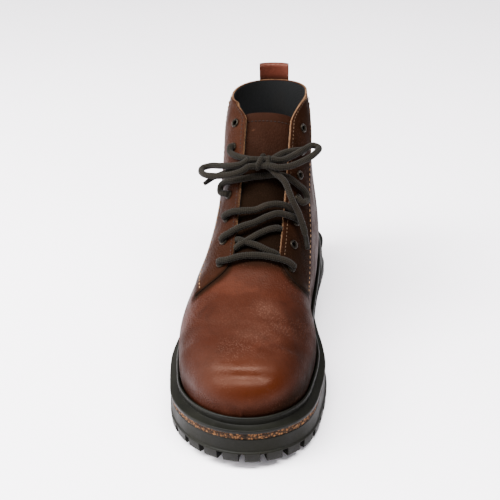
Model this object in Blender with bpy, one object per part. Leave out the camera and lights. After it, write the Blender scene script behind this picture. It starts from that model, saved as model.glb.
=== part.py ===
"""Lace-up leather boot for the right foot, standing empty on its sole.

Metres, +Z up, the toe towards -Y, the medial (inner) side towards +X. The origin is on the
floor under the middle of the boot. Every form comes from one function, form(), the signed
distance-like value of the last with its shaft: the upper, tongue, welt, insole, eyelets and
pull loop are all placed on it or at a named offset from it.
"""
import math

import bmesh
import bpy
import numpy as np

# Driving dimensions of the sole.
SOLE_LENGTH = 0.304
BALL_WIDTH = 0.119
HEEL_WIDTH = 0.084
FOREFOOT_THICKNESS = 0.0195
HEEL_LIFT = 0.007
TOE_SPRING = 0.0070
SPRING_SHARE = 0.27
LUG_DEPTH = 0.0075
CORK_THICKNESS = 0.0045
WELT_THICKNESS = 0.0030
LEDGE_WIDTH = 0.0062
BEAD_WIDTH = 0.0032
BEAD_HEIGHT = 0.0056

# Driving dimensions of the upper.
COLLAR_HEIGHT = 0.176
THROAT_HEIGHT = 0.0915
SHAFT_WIDTH = 0.072
THROAT_GAP = 0.0352
WALL = 0.0022
EYESTAY_THICKNESS = 0.0012
INSOLE_THICKNESS = 0.0040
TONGUE_THICKNESS = 0.0028
TONGUE_WIDTH = 0.058
TONGUE_CORNER = 0.0040
TONGUE_GAP = 0.0011

# Driving dimensions of the tread.
TREAD_PITCH = 0.0156
NOTCH_WIDTH = 0.0052
NOTCH_REACH = 0.0125
GROOVE_WIDTH = 0.0046
GROOVE_MARGIN = 0.0175
WAIST_FRONT = 0.500
WAIST_BACK = 0.690
WAIST_HEIGHT = 0.0080
WAIST_MARGIN_FRONT = 0.02
WAIST_MARGIN_BACK = 0.03
GROOVE_FIRST = 0.085
GROOVE_LAST = 0.94
SPINE_FIRST = 0.075
SPINE_LAST = 0.93
SPINE_DEPTH = 0.9
NOTCH_TAPER = 0.7

# Driving dimensions of the eyelets, the lace and the pull loop.
EYELET_ROWS = 7
EYELET_SIDE = 0.0255
EYELET_START = -0.0040
EYELET_PITCH = 0.0198
EYELET_HOLE = 0.0019
BARREL_RADIUS = 0.0025
FLANGE_RADIUS = 0.0036
FLANGE_THICKNESS = 0.0009
FLANGE_SEAT = 0.0004
LACE_DIAMETER = 0.0050
KNOT_SIDE = 0.0070
KNOT_CLIMB = 0.0068
KNOT_OUT = 0.0056
KNOT_SWEEP = 1.25
KNOT_TAPER = 0.6
KNOT_SQUARE = 0.75
PULL_WIDTH = 0.0245
PULL_THICKNESS = 0.0016
PULL_FOOT_HEIGHT = 0.150
PULL_TOP_HEIGHT = 0.1895
PULL_EYE = 0.0012

# Clearances.
GAP = 0.0003
EDGE_GAP = 0.0006

# Counts.
LOOP = 64
SEAM = 16
UPPER_ROWS = 15
EYELET_SIDES = 10
LACE_SIDES = 8
KNOT_SIDES = 16
KNOT_RINGS = 7
SPINE_RINGS = 7
ARC_POINTS = 400
CAST_STEPS = 53
CAST_HALVINGS = 26


def table(columns, rows):
    """Named columns of a short table, each as an array, from rows of numbers."""
    values = np.array(rows, float)
    return {name: values[:, i] for i, name in enumerate(columns)}


# Plan of the sole: along is a share of its length from the toe, centre and ball are shares of
# half the ball width, heel is a share of half the heel width. The half width is their sum.
PLAN = table(("along", "centre", "ball", "heel"), [
    (0.00, 0.110, 0.84, 0.00),
    (0.08, 0.080, 0.88, 0.00),
    (0.15, 0.045, 0.915, 0.00),
    (0.24, 0.020, 0.98, 0.00),
    (0.30, 0.000, 1.00, 0.00),
    (0.36, -0.020, 0.975, 0.00),
    (0.45, -0.045, 0.89, 0.00),
    (0.55, -0.040, 0.40, 0.55),
    (0.65, 0.000, 0.00, 1.03),
    (0.75, 0.060, 0.00, 0.99),
    (0.85, 0.100, 0.00, 0.985),
    (0.93, 0.112, 0.00, 0.975),
    (1.00, 0.110, 0.00, 0.95),
])
TOE_ROUND = 0.17
HEEL_ROUND = 0.145

# Ridge of the foot: the height of the upper's top over the foot's own length, as a share of
# the throat's height.
RIDGE = table(("along", "height"), [
    (0.00, 0.790),
    (0.10, 0.815),
    (0.20, 0.850),
    (0.30, 0.915),
    (0.40, 1.010),
    (0.50, 1.100),
    (0.62, 1.150),
    (0.80, 1.100),
    (1.00, 1.000),
])

# Shaft: along is a share of the collar height, front and back are shares of the sole's length
# from the toe, width and centre are shares of half the shaft width.
SHAFT = table(("along", "front", "back", "width", "centre"), [
    (0.10, 0.290, 0.942, 0.98, 0.16),
    (0.28, 0.320, 0.955, 1.10, 0.16),
    (0.40, 0.345, 0.960, 1.13, 0.15),
    (0.52, 0.385, 0.959, 1.11, 0.12),
    (0.63, 0.463, 0.956, 1.03, 0.11),
    (0.74, 0.540, 0.949, 0.975, 0.11),
    (0.85, 0.612, 0.947, 0.955, 0.11),
    (0.93, 0.658, 0.950, 0.92, 0.10),
    (1.00, 0.700, 0.954, 0.86, 0.10),
    (1.15, 0.770, 0.960, 0.80, 0.10),
])


def smooth(rows, name, at):
    """A table's column at any place along it: a cubic through the rows."""
    along, value = rows["along"], rows[name]
    slope = np.gradient(value, along)
    i = np.clip(np.searchsorted(along, at) - 1, 0, len(along) - 2)
    step = along[i + 1] - along[i]
    t = np.clip((at - along[i]) / step, 0.0, 1.0)
    near = (1 + 2 * t) * (1 - t) ** 2 * value[i] + t * (1 - t) ** 2 * step * slope[i]
    far = t * t * (3 - 2 * t) * value[i + 1] - t * t * (1 - t) * step * slope[i + 1]
    return near + far


def ease(value, low, high):
    """0 below low, 1 above high, with a soft S between."""
    t = np.clip((value - low) / (high - low), 0.0, 1.0)
    return t * t * (3 - 2 * t)


def round_ends(share, power=2.0):
    """Factor that closes a width at the toe and the heel on a round end."""
    toe = np.clip(1 - share / TOE_ROUND, 0.0, 1.0)
    heel = np.clip(1 - (1 - share) / HEEL_ROUND, 0.0, 1.0)
    return (1 - toe ** power) ** (1 / power) * (1 - heel ** power) ** (1 / power)


def share_of(y):
    """Share of the sole's length from the toe at y."""
    return np.clip(y / SOLE_LENGTH + 0.5, 0.0, 1.0)


def plan_centre(share):
    """Middle line of the sole in x."""
    return smooth(PLAN, "centre", share) * BALL_WIDTH / 2


def plan_width(share):
    """Half width of the sole before its ends are rounded."""
    return (smooth(PLAN, "ball", share) * BALL_WIDTH + smooth(PLAN, "heel", share) * HEEL_WIDTH) / 2


def spring(share):
    """Rise of the tread off the floor towards the toe."""
    return TOE_SPRING * np.clip((SPRING_SHARE - share) / SPRING_SHARE, 0.0, 1.0) ** 2


def seat(share):
    """Top of the outsole: its thickness, the toe spring and the lift under the heel."""
    return FOREFOOT_THICKNESS + spring(share) + HEEL_LIFT * ease(share, 0.42, 0.74)


def cork_top(share):
    """Top of the cork midsole."""
    return seat(share) + GAP + CORK_THICKNESS


def ledge(share):
    """Top of the welt, on which the upper stands."""
    return cork_top(share) + GAP + WELT_THICKNESS


FOOT_INSET = LEDGE_WIDTH + BEAD_WIDTH
BULGE_HEIGHT = 0.013
LOWER_CURVE = 0.040
FOOT_TOE = -SOLE_LENGTH / 2 + FOOT_INSET + 0.0005
FOOT_HEEL = SOLE_LENGTH / 2 - FOOT_INSET - 0.0028
FOOT_POWER = 2.3
SHAFT_POWER = 2.2
BLEND = 0.012
CAST_REACH = 0.26


def soft_min(a, b, reach):
    """The lower of two values, with a fillet of the given reach where they meet."""
    h = np.clip(0.5 + 0.5 * (b - a) / reach, 0.0, 1.0)
    return b + (a - b) * h - reach * h * (1 - h)


def form(point):
    """Below zero inside the last and its shaft, zero on the upper's outer face, about metres.

    The foot is a superellipse arch on each cross section, widest a little above the welt. The
    shaft is a superellipse oval on each level, from the front line to the back line.
    """
    x, y, z = point[..., 0], point[..., 1], point[..., 2]
    along = np.clip((y - FOOT_TOE) / (FOOT_HEEL - FOOT_TOE), 0.0, 1.0)
    beyond = np.maximum(FOOT_TOE - y, 0.0) + np.maximum(y - FOOT_HEEL, 0.0)
    base = ledge(share_of(y)) + BULGE_HEIGHT
    closing = np.maximum(round_ends(along), 0.02)
    half = (plan_width(along) - FOOT_INSET + 0.0015) * closing
    tall = (smooth(RIDGE, "height", along) * THROAT_HEIGHT - base)
    tall = tall * np.maximum(round_ends(along, 2.3), 0.02)
    rise = np.where(z > base, (z - base) / tall, (base - z) / LOWER_CURVE)
    side = np.abs(x - plan_centre(along)) / half
    foot = (side ** FOOT_POWER + np.abs(rise) ** FOOT_POWER) ** (1 / FOOT_POWER) - 1
    foot = foot * np.minimum(half, 0.040) + beyond
    level = z / COLLAR_HEIGHT
    front = (smooth(SHAFT, "front", level) - 0.5) * SOLE_LENGTH
    back = (smooth(SHAFT, "back", level) - 0.5) * SOLE_LENGTH
    wide = smooth(SHAFT, "width", level) * SHAFT_WIDTH / 2
    middle = smooth(SHAFT, "centre", level) * SHAFT_WIDTH / 2
    run = (y - (front + back) / 2) / ((back - front) / 2)
    oval = (np.abs(run) ** SHAFT_POWER + np.abs((x - middle) / wide) ** SHAFT_POWER)
    shaft = (oval ** (1 / SHAFT_POWER) - 1) * wide
    return soft_min(foot, shaft, BLEND)


def normal(point):
    """Outward unit normal of the form at points on or near it."""
    step = 0.0004
    slope = [form(point + step * axis) - form(point - step * axis) for axis in np.eye(3)]
    slope = np.stack(slope, -1)
    return slope / np.linalg.norm(slope, axis=-1, keepdims=True)


def cast(origin, direction, offset=0.0):
    """Where rays from inside meet the form moved outwards by offset along its normal."""
    origin, direction = np.broadcast_arrays(np.asarray(origin, float), np.asarray(direction, float))
    direction = direction / np.linalg.norm(direction, axis=-1, keepdims=True)
    reach = np.linspace(0.0, CAST_REACH, CAST_STEPS)
    outside = np.stack([form(origin + direction * r) > 0 for r in reach])
    first = np.maximum(outside.argmax(0), 1)
    low, high = reach[first - 1], reach[first]
    for _ in range(CAST_HALVINGS):
        middle = (low + high) / 2
        out = form(origin + direction * middle[..., None]) > 0
        low, high = np.where(out, low, middle), np.where(out, middle, high)
    point = origin + direction * high[..., None]
    return point + offset * normal(point) if offset else point


def loop_angle():
    """Angle of each column round the boot: 0 at the toe, a quarter turn at the medial side."""
    return np.arange(LOOP) * 2 * np.pi / LOOP


def outline(inset=0.0):
    """Plan of the sole as a loop of points in x and y, moved inwards by inset."""
    angle = loop_angle()
    share = (1 - np.cos(angle)) / 2
    side = np.sign(np.round(np.sin(angle), 6))
    half = plan_width(share) * round_ends(share)
    loop = np.stack([plan_centre(share) + side * half, (share - 0.5) * SOLE_LENGTH], -1)
    along = np.roll(loop, -1, 0) - np.roll(loop, 1, 0)
    outward = np.stack([along[:, 1], -along[:, 0]], -1)
    outward /= np.linalg.norm(outward, axis=-1, keepdims=True)
    return loop - outward * inset


def ring(inset, height):
    """Outline at an inset, raised to height, a function of the share of the length."""
    loop = outline(inset)
    return np.column_stack([loop, height(share_of(loop[:, 1]))])


def foot_origin():
    """Point on the middle line from which each column's foot ray starts, in x and y."""
    loop = outline()
    y = np.clip(loop[:, 1], (0.20 - 0.5) * SOLE_LENGTH, (0.84 - 0.5) * SOLE_LENGTH)
    return np.column_stack([plan_centre(share_of(y)), y])


def foot_ring(offset, lift):
    """Loop on the form at a lift over the ledge, moved outwards in plan by offset."""
    start, loop = foot_origin(), outline()
    height = ledge(share_of(loop[:, 1])) + lift
    origin = np.column_stack([start, height])
    point = cast(origin, np.column_stack([loop - start, np.zeros(LOOP)]))
    flat = normal(point) * (1, 1, 0)
    flat /= np.linalg.norm(flat, axis=-1, keepdims=True)
    return point + flat * offset


def new_object(name, mesh, material, group):
    """Object in the boot's collection, with one material."""
    obj = bpy.data.objects.new(name, mesh)
    if material:
        mesh.materials.append(material)
    group.objects.link(obj)
    return obj


def mesh_from(name, points, faces):
    """Mesh with merged doubles from an array of points and a list of faces."""
    mesh = bpy.data.meshes.new(name)
    mesh.from_pydata([tuple(p) for p in points], [], faces)
    shape = bmesh.new()
    shape.from_mesh(mesh)
    bmesh.ops.remove_doubles(shape, verts=shape.verts, dist=1e-7)
    bmesh.ops.triangulate(shape, faces=shape.faces)
    bmesh.ops.recalc_face_normals(shape, faces=shape.faces)
    shape.to_mesh(mesh)
    shape.free()
    return mesh


def stack_mesh(name, rings):
    """Closed solid through loops of points, its two ends closed by rungs across the boot."""
    count = len(rings[0])
    faces = []
    for level in range(len(rings) - 1):
        low, high = level * count, (level + 1) * count
        for i in range(count):
            j = (i + 1) % count
            faces.append((low + i, low + j, high + j, high + i))
    half = count // 2
    for base in (0, (len(rings) - 1) * count):
        for i in range(half):
            corners = [base + i, base + i + 1, base + (count - i - 1) % count, base + (count - i) % count]
            faces.append(tuple(dict.fromkeys(corners)))
    return mesh_from(name, np.concatenate(rings), faces)


def shell_mesh(name, outer, inner, closed):
    """Closed solid between two grids of points, rows by columns, closed if columns go round."""
    rows, columns = outer.shape[:2]
    size = rows * columns
    faces = []
    last = columns if closed else columns - 1
    for r in range(rows - 1):
        for c in range(last):
            d = (c + 1) % columns
            quad = (r * columns + c, r * columns + d, (r + 1) * columns + d, (r + 1) * columns + c)
            faces.append(quad)
            faces.append(tuple(size + v for v in reversed(quad)))
    for c in range(last):
        d = (c + 1) % columns
        for r in (0, rows - 1):
            a, b = r * columns + c, r * columns + d
            faces.append((a, b, size + b, size + a))
    if not closed:
        for r in range(rows - 1):
            for c in (0, columns - 1):
                a, b = r * columns + c, (r + 1) * columns + c
                faces.append((a, b, size + b, size + a))
    points = np.concatenate([outer.reshape(-1, 3), inner.reshape(-1, 3)])
    return mesh_from(name, points, faces)


def loft_mesh(name, lofts, closed=False):
    """Lofts through loops of points, each capped at its two ends or, closed, joined to itself."""
    points, faces = [], []
    for rings in lofts:
        count, start = len(rings[0]), len(points)
        for r in range(len(rings) if closed else len(rings) - 1):
            a, b = start + r * count, start + (r + 1) % len(rings) * count
            faces += [(a + i, a + (i + 1) % count, b + (i + 1) % count, b + i) for i in range(count)]
        if not closed:
            faces.append(tuple(range(start, start + count)))
            faces.append(tuple(range(start + (len(rings) - 1) * count, start + len(rings) * count)))
        points += [tuple(point) for ring in rings for point in ring]
    return mesh_from(name, points, faces)


def curve_through(points, step):
    """Evenly parted points along a smooth curve through the given ones."""
    points = np.asarray(points)
    run = np.linalg.norm(np.diff(points, axis=0), axis=1)
    run = np.concatenate([[0.0], np.cumsum(run)])
    at = np.linspace(0.0, run[-1], int(round(run[-1] / step)) + 1)
    columns = {"along": run, "x": points[:, 0], "y": points[:, 1], "z": points[:, 2]}
    return np.stack([smooth(columns, axis, at) for axis in "xyz"], -1)


def sweep(path, radius, sides):
    """Loops of a round tube along a path, without twist."""
    along = np.gradient(path, axis=0)
    along /= np.linalg.norm(along, axis=-1, keepdims=True)
    angle = np.arange(sides)[:, None] * 2 * np.pi / sides
    across = np.cross(along[0], (0.0, 0.3, 1.0))
    rings = []
    for centre, tangent in zip(path, along):
        across = across - tangent * (across @ tangent)
        across /= np.linalg.norm(across)
        up = np.cross(tangent, across)
        rings.append(centre + radius * (np.cos(angle) * across + np.sin(angle) * up))
    return rings


def new_cutter(mesh, group):
    """Hidden object that a boolean takes."""
    obj = new_object(mesh.name, mesh, None, group)
    obj.hide_render = True
    obj.display_type = "WIRE"
    return obj


def combine(obj, other, operation="DIFFERENCE"):
    """Exact boolean of an object with a hidden one."""
    step = obj.modifiers.new(other.name, "BOOLEAN")
    step.operation = operation
    step.solver = "EXACT"
    step.object = other


# Lacing line: it climbs the front of the shaft from the lowest eyelets to the collar.
LACE_FOOT_ALONG = 0.418
LACE_FOOT_HEIGHT = 0.091
LACE_SLOPE = 0.7088
LACE_LENGTH = 0.134
THROAT_CENTRE = 0.0060
THROAT_LEAN = 0.0025
THROAT_FLARE = 0.0090
FLARE_START = 0.116
COLLAR_RISE = 0.004
MEDIAL_RISE = 0.013
CORNER_FADE = 0.3
SHAFT_AXIS_ALONG = 0.800
VAMP_ORIGIN = (0.0045, -0.052, 0.055)
COLLAR_ORIGIN_DROP = 0.030
CAST_DEPTH = 0.030


def lace_line(side, distance, offset=0.0):
    """Point on the form beside the lacing line, at a distance up it from the lowest eyelets."""
    side, distance = np.broadcast_arrays(np.asarray(side, float), np.asarray(distance, float))
    climb = np.array([0.0, math.cos(LACE_SLOPE), math.sin(LACE_SLOPE)])
    out = np.array([0.0, -math.sin(LACE_SLOPE), math.cos(LACE_SLOPE)])
    foot = np.array([0.0, (LACE_FOOT_ALONG - 0.5) * SOLE_LENGTH, LACE_FOOT_HEIGHT])
    origin = foot + climb * distance[..., None] - out * CAST_DEPTH
    origin[..., 0] = THROAT_CENTRE + side + THROAT_LEAN * (distance / LACE_LENGTH - 0.5)
    return cast(origin, out, offset)


def facing_point(side, share):
    """Point on the throat's edge, from its foot (0) to the collar's front corner (1)."""
    distance = LACE_LENGTH * share
    flare = ease(distance, FLARE_START, LACE_LENGTH)
    half = THROAT_GAP / 2 + THROAT_FLARE * flare
    return lace_line(side * half, distance + MEDIAL_RISE * max(side, 0) * flare)


def collar_point(side, share):
    """Point on the collar, from its front corner (0) round to the middle of the back (1)."""
    corner = facing_point(side, np.array(1.0))
    axis = np.array([SHAFT["centre"][-1] * SHAFT_WIDTH / 2, (SHAFT_AXIS_ALONG - 0.5) * SOLE_LENGTH])
    start = math.atan2(abs(corner[0] - axis[0]), axis[1] - corner[1])
    turn = start + (np.pi - start) * share
    corner_rise = corner[2] - COLLAR_HEIGHT - COLLAR_RISE
    z = COLLAR_HEIGHT + COLLAR_RISE * (1 - share) ** 1.5
    z = z + corner_rise * (1 - ease(share, 0.0, CORNER_FADE))
    origin = np.stack([axis[0] + 0 * share, axis[1] + 0 * share, z], -1)
    direction = np.stack([side * np.sin(turn), -np.cos(turn), 0 * turn], -1)
    return cast(origin, direction)


def top_edge(side, share, corner=0.50):
    """Throat edge and collar as one line from the throat's foot to the middle of the back."""
    facing = facing_point(side, np.clip(share / corner, 0.0, 1.0))
    collar = collar_point(side, np.clip((share - corner) / (1 - corner), 0.0, 1.0))
    return np.where((share < corner)[..., None], facing, collar)


def upper_columns():
    """Top point and top origin of each column of the upper, run round the boot from the toe."""
    half = LOOP // 2
    index = np.arange(LOOP)
    turn = np.minimum(index, LOOP - index)
    side = np.where(index <= half, 1.0, -1.0)
    vamp = lace_line(side * THROAT_GAP / 2 * np.minimum(turn / SEAM, 1.0), 0.0)
    share = np.clip((turn - SEAM) / (half - SEAM), 0.0, 1.0)
    edge = np.stack([top_edge(s, np.array(v)) for s, v in zip(side, share)])
    top = np.where((turn <= SEAM)[:, None], vamp, edge)
    axis = np.array([0.0, (SHAFT_AXIS_ALONG - 0.5) * SOLE_LENGTH, -COLLAR_ORIGIN_DROP])
    high = top * (0, 0, 1) + axis
    high[:, 0] = SHAFT["centre"][-1] * SHAFT_WIDTH / 2
    mix = ease(share, 0.0, 0.6)[:, None]
    return top, np.array(VAMP_ORIGIN) * (1 - mix) + high * mix


def upper_face():
    """Outer face of the upper as a grid of points, from the welt to the top edge."""
    top, top_origin = upper_columns()
    foot = foot_ring(0.0, GAP)
    origin = np.column_stack([foot_origin(), foot[:, 2]])
    t = np.linspace(0.0, 1.0, UPPER_ROWS)[:, None, None]
    low = foot - origin
    low /= np.linalg.norm(low, axis=-1, keepdims=True)
    high = top - top_origin
    high /= np.linalg.norm(high, axis=-1, keepdims=True)
    return cast(origin * (1 - t) + top_origin * t, low * (1 - t) + high * t)


def material(name, colour, roughness, metallic=0.0):
    """Principled BSDF with one colour."""
    made = bpy.data.materials.new(name)
    made.use_nodes = True
    shader = made.node_tree.nodes["Principled BSDF"]
    shader.inputs["Base Color"].default_value = (*colour, 1.0)
    shader.inputs["Roughness"].default_value = roughness
    shader.inputs["Metallic"].default_value = metallic
    return made


def make_upper(group, leather):
    """Hollow upper, open at the collar, the throat and underneath."""
    face = upper_face()
    mesh = shell_mesh("upper", face, face - normal(face) * WALL, True)
    return new_object("upper", mesh, leather, group)


# Outline of each eyestay beside the throat: side is the distance from the middle of the
# throat as a share of half the shaft width, along is a share of the sole's length, height a
# share of the collar height. Its front edge runs from the throat's foot to the lower corner,
# its rear edge from that corner up to the collar.
FRONT_EDGE = {
    1: table(("side", "along", "height"), [
        (0.49, 0.400, 0.545), (0.76, 0.384, 0.465), (0.95, 0.398, 0.400), (1.10, 0.418, 0.355)]),
    -1: table(("side", "along", "height"), [
        (0.49, 0.402, 0.545), (0.66, 0.376, 0.508), (0.93, 0.356, 0.469), (1.22, 0.343, 0.418)]),
}
REAR_EDGE = {
    1: table(("side", "along", "height"), [
        (1.10, 0.418, 0.355), (1.15, 0.480, 0.385), (1.10, 0.565, 0.520), (0.98, 0.665, 0.680),
        (0.92, 0.765, 0.860), (0.90, 0.830, 1.010)]),
    -1: table(("side", "along", "height"), [
        (1.22, 0.343, 0.418), (1.25, 0.440, 0.430), (1.15, 0.540, 0.560), (1.02, 0.645, 0.710),
        (0.95, 0.750, 0.880), (0.90, 0.815, 1.012)]),
}
EYESTAY_ROWS = 19
EYESTAY_COLUMNS = 8
SPINE_FOOT = (0.0045, -0.006, 0.060)
SPINE_TOP = (0.0045, 0.092, 0.150)


def edge_curve(rows, share):
    """Points along a table of an edge, near the form."""
    steps = np.linspace(0.0, 1.0, len(rows["side"]))
    half = smooth({"along": steps, "v": rows["side"]}, "v", share) * SHAFT_WIDTH / 2
    y = (smooth({"along": steps, "v": rows["along"]}, "v", share) - 0.5) * SOLE_LENGTH
    z = smooth({"along": steps, "v": rows["height"]}, "v", share) * COLLAR_HEIGHT
    return half, y, z


def from_spine(point, offset=0.0):
    """A point near the form, carried onto it along a ray from the shaft's inner axis."""
    foot, top = np.array(SPINE_FOOT), np.array(SPINE_TOP)
    run = top - foot
    share = np.clip(((point - foot) @ run) / (run @ run), 0.0, 1.0)
    start = foot + run * share[..., None]
    return cast(start, point - start, offset)


def eyestay_face(side):
    """Grid on the form inside the eyestay's four edges, rows up the boot, columns backwards."""
    v = np.linspace(0.0, 1.0, EYESTAY_ROWS)
    u = np.linspace(0.0, 1.0, EYESTAY_COLUMNS)
    throat = facing_point(side, v)
    half, y, z = edge_curve(REAR_EDGE[side], v)
    rear = from_spine(np.stack([THROAT_CENTRE + side * half, y, z], -1))
    half, y, z = edge_curve(FRONT_EDGE[side], u)
    front = from_spine(np.stack([THROAT_CENTRE + side * half, y, z], -1))
    front[0], front[-1] = throat[0], rear[0]
    back = np.linspace(0.0, 1.0, 41)
    collar = collar_point(side, back)
    stop = back[np.argmin(np.linalg.norm(collar - rear[-1], axis=-1))]
    collar = collar_point(side, u * stop)
    rear[-1] = collar[-1]
    a, b = v[:, None, None], u[None, :, None]
    across = throat[:, None] * (1 - b) + rear[:, None] * b
    upward = front[None] * (1 - a) + collar[None] * a
    corners = (front[0] * (1 - b) + front[-1] * b) * (1 - a) + (collar[0] * (1 - b) + collar[-1] * b) * a
    return from_spine(across + upward - corners)


def make_eyestay(group, leather, name, side):
    """Raised leather panel that carries one row of eyelets."""
    face = eyestay_face(side)
    out = normal(face)
    mesh = shell_mesh(name, face + out * (GAP + EYESTAY_THICKNESS), face + out * GAP, False)
    return new_object(name, mesh, leather, group)


TONGUE_START = -0.014
TONGUE_END = 0.1225
TONGUE_ROWS = 15
TONGUE_COLUMNS = 9


def make_tongue(group, leather):
    """Tongue under the throat, from inside the vamp to just above the top eyelets."""
    across = np.linspace(-1.0, 1.0, TONGUE_COLUMNS)
    rise = np.linspace(0.0, 1.0, TONGUE_ROWS)[:, None]
    end = TONGUE_END - TONGUE_CORNER * np.abs(across) ** 8
    side = across * TONGUE_WIDTH / 2 * (0.86 + 0.14 * rise)
    face = lace_line(side, TONGUE_START + (end - TONGUE_START) * rise)
    out = normal(face)
    top = WALL + TONGUE_GAP
    mesh = shell_mesh("tongue", face - out * top, face - out * (top + TONGUE_THICKNESS), False)
    return new_object("tongue", mesh, leather, group)


# Side of the outsole: height is a share of its thickness, inset is in metres.
SIDE = table(("along", "inset"), [
    (0.00, 0.0012),
    (0.10, 0.0002),
    (0.42, 0.0000),
    (0.50, 0.0014),
    (0.92, 0.0018),
    (1.00, 0.0024),
])


def tread_arcs():
    """Places of the notches along the outline: points and outward directions in x and y."""
    share = (1 - np.cos(np.linspace(0.0, np.pi, ARC_POINTS))) / 2
    places = []
    for side in (1, -1):
        half = plan_width(share) * round_ends(share)
        line = np.stack([plan_centre(share) + side * half, (share - 0.5) * SOLE_LENGTH], -1)
        run = np.concatenate([[0.0], np.cumsum(np.linalg.norm(np.diff(line, axis=0), axis=1))])
        out = np.gradient(line, axis=0)[:, ::-1] * (side, -side)
        out /= np.linalg.norm(out, axis=-1, keepdims=True)
        first = 0.0 if side == 1 else TREAD_PITCH
        for start, step in ((first, TREAD_PITCH), (run[-1] - first, -TREAD_PITCH)):
            for at in np.arange(start, run[-1] / 2 if step > 0 else run[-1] / 2 + 1e-3, step):
                i = np.argmin(np.abs(run - at))
                if not WAIST_FRONT - WAIST_MARGIN_FRONT < share[i] < WAIST_BACK + WAIST_MARGIN_BACK:
                    places.append((line[i], out[i]))
    return places


def notch_cutters():
    """Lofts that cut the notches between the lugs along the edge of the tread."""
    lofts = []
    for place, out in tread_arcs():
        across = np.array([-out[1], out[0]]) * NOTCH_WIDTH / 2
        inner, outer = place - out * NOTCH_REACH, place + out * LEDGE_WIDTH
        narrow = across * NOTCH_TAPER
        plan = np.array([inner - narrow, outer - across, outer + across, inner + narrow])
        top = spring(share_of(place[1])) + LUG_DEPTH
        lofts.append([np.column_stack([plan, np.full(4, z)]) for z in (-LUG_DEPTH, top)])
    return lofts


def slot(share, low, high, top):
    """Upright loop of a cutter across the boot at a share of its length."""
    y = (share - 0.5) * SOLE_LENGTH
    return np.array([(low, y, -LUG_DEPTH), (high, y, -LUG_DEPTH), (high, y, top), (low, y, top)])


def groove_cutters():
    """Lofts that cut the grooves across the forefoot and the heel."""
    lofts = []
    half_width = GROOVE_WIDTH / SOLE_LENGTH / 2
    pitch = TREAD_PITCH / SOLE_LENGTH
    front = np.arange(GROOVE_FIRST, WAIST_FRONT - pitch / 2, pitch)
    back = np.arange(WAIST_BACK + pitch, GROOVE_LAST, pitch)
    for share in np.concatenate([front, back]):
        reach = plan_width(share) * round_ends(share) - GROOVE_MARGIN
        low, high = plan_centre(share) - reach, plan_centre(share) + reach
        top = spring(share) + LUG_DEPTH
        lofts.append([slot(share - half_width, low, high, top), slot(share + half_width, low, high, top)])
    return lofts


def spine_cutters():
    """Lofts that cut the groove along the middle of the forefoot and of the heel."""
    lofts = []
    spans = ((SPINE_FIRST, WAIST_FRONT - WAIST_MARGIN_BACK), (WAIST_BACK + WAIST_MARGIN_BACK, SPINE_LAST))
    for first, last in spans:
        rings = []
        for share in np.linspace(first, last, SPINE_RINGS):
            middle, top = plan_centre(share), spring(share) + LUG_DEPTH * SPINE_DEPTH
            rings.append(slot(share, middle - GROOVE_WIDTH / 2, middle + GROOVE_WIDTH / 2, top))
        lofts.append(rings)
    return lofts


# Waist under the arch: height is a share of the waist's full height.
WAIST = table(("along", "height"), [
    (WAIST_FRONT, 0.02),
    (WAIST_FRONT + 0.03, 0.80),
    (WAIST_FRONT + 0.10, 1.00),
    (WAIST_BACK, 1.04),
])


def waist_cutter():
    """Loft that lifts the waist off the floor and leaves the front face of the heel."""
    rows = zip(WAIST["along"], WAIST["height"])
    return [[slot(share, -BALL_WIDTH, BALL_WIDTH, WAIST_HEIGHT * top) for share, top in rows]]


def make_outsole(group, cutters, rubber):
    """Outsole with lugs, a waist and a heel."""
    rings = []
    for share, inset in zip(SIDE["along"], SIDE["inset"]):
        rings.append(ring(inset, lambda s, h=share: spring(s) + h * (seat(s) - spring(s))))
    sole = new_object("outsole", stack_mesh("outsole", rings), rubber, group)
    cuts = {
        "cut_notches": notch_cutters(),
        "cut_grooves": groove_cutters(),
        "cut_spine": spine_cutters(),
        "cut_waist": waist_cutter(),
    }
    for name, lofts in cuts.items():
        combine(sole, new_cutter(loft_mesh(name, lofts), cutters))


def make_cork(group, cork):
    """Cork midsole between the outsole and the welt."""
    inset = SIDE["inset"][-1] - EDGE_GAP
    rings = [ring(inset, lambda s: seat(s) + GAP), ring(inset, cork_top)]
    return new_object("cork_midsole", stack_mesh("cork_midsole", rings), cork, group)


def welt_floor(share):
    """Underside of the welt."""
    return cork_top(share) + GAP


WELT_ROUND = 0.0008


def make_welt(group, rubber):
    """Welt: a ledge round the boot with a raised bead against the upper."""
    rings = [
        ring(WELT_ROUND * 2, welt_floor),
        ring(WELT_ROUND, lambda s: welt_floor(s) + WELT_ROUND),
        ring(WELT_ROUND, lambda s: ledge(s) - WELT_ROUND),
        ring(WELT_ROUND * 2, ledge),
        foot_ring(BEAD_WIDTH, 0.0),
        foot_ring(BEAD_WIDTH, BEAD_HEIGHT * 0.6),
        foot_ring(BEAD_WIDTH * 0.6, BEAD_HEIGHT),
        foot_ring(EDGE_GAP, BEAD_HEIGHT * 0.9),
        foot_ring(EDGE_GAP, 0.0),
    ]
    return new_object("welt", stack_mesh("welt", rings), rubber, group)


def make_insole(group, lining):
    """Insole inside the upper, on the welt."""
    inset = WALL + EDGE_GAP
    rings = [foot_ring(-inset, GAP), foot_ring(-inset, GAP + INSOLE_THICKNESS)]
    return new_object("insole", stack_mesh("insole", rings), lining, group)


def eyelet_frame(side, row):
    """Point on the form under an eyelet and its axes: across, along and outward."""
    base = lace_line(side * EYELET_SIDE, EYELET_START + EYELET_PITCH * row)
    out = normal(base)
    across = np.cross((0.0, 1.0, 0.0), out)
    across /= np.linalg.norm(across)
    return base, across, np.cross(out, across), out


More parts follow.
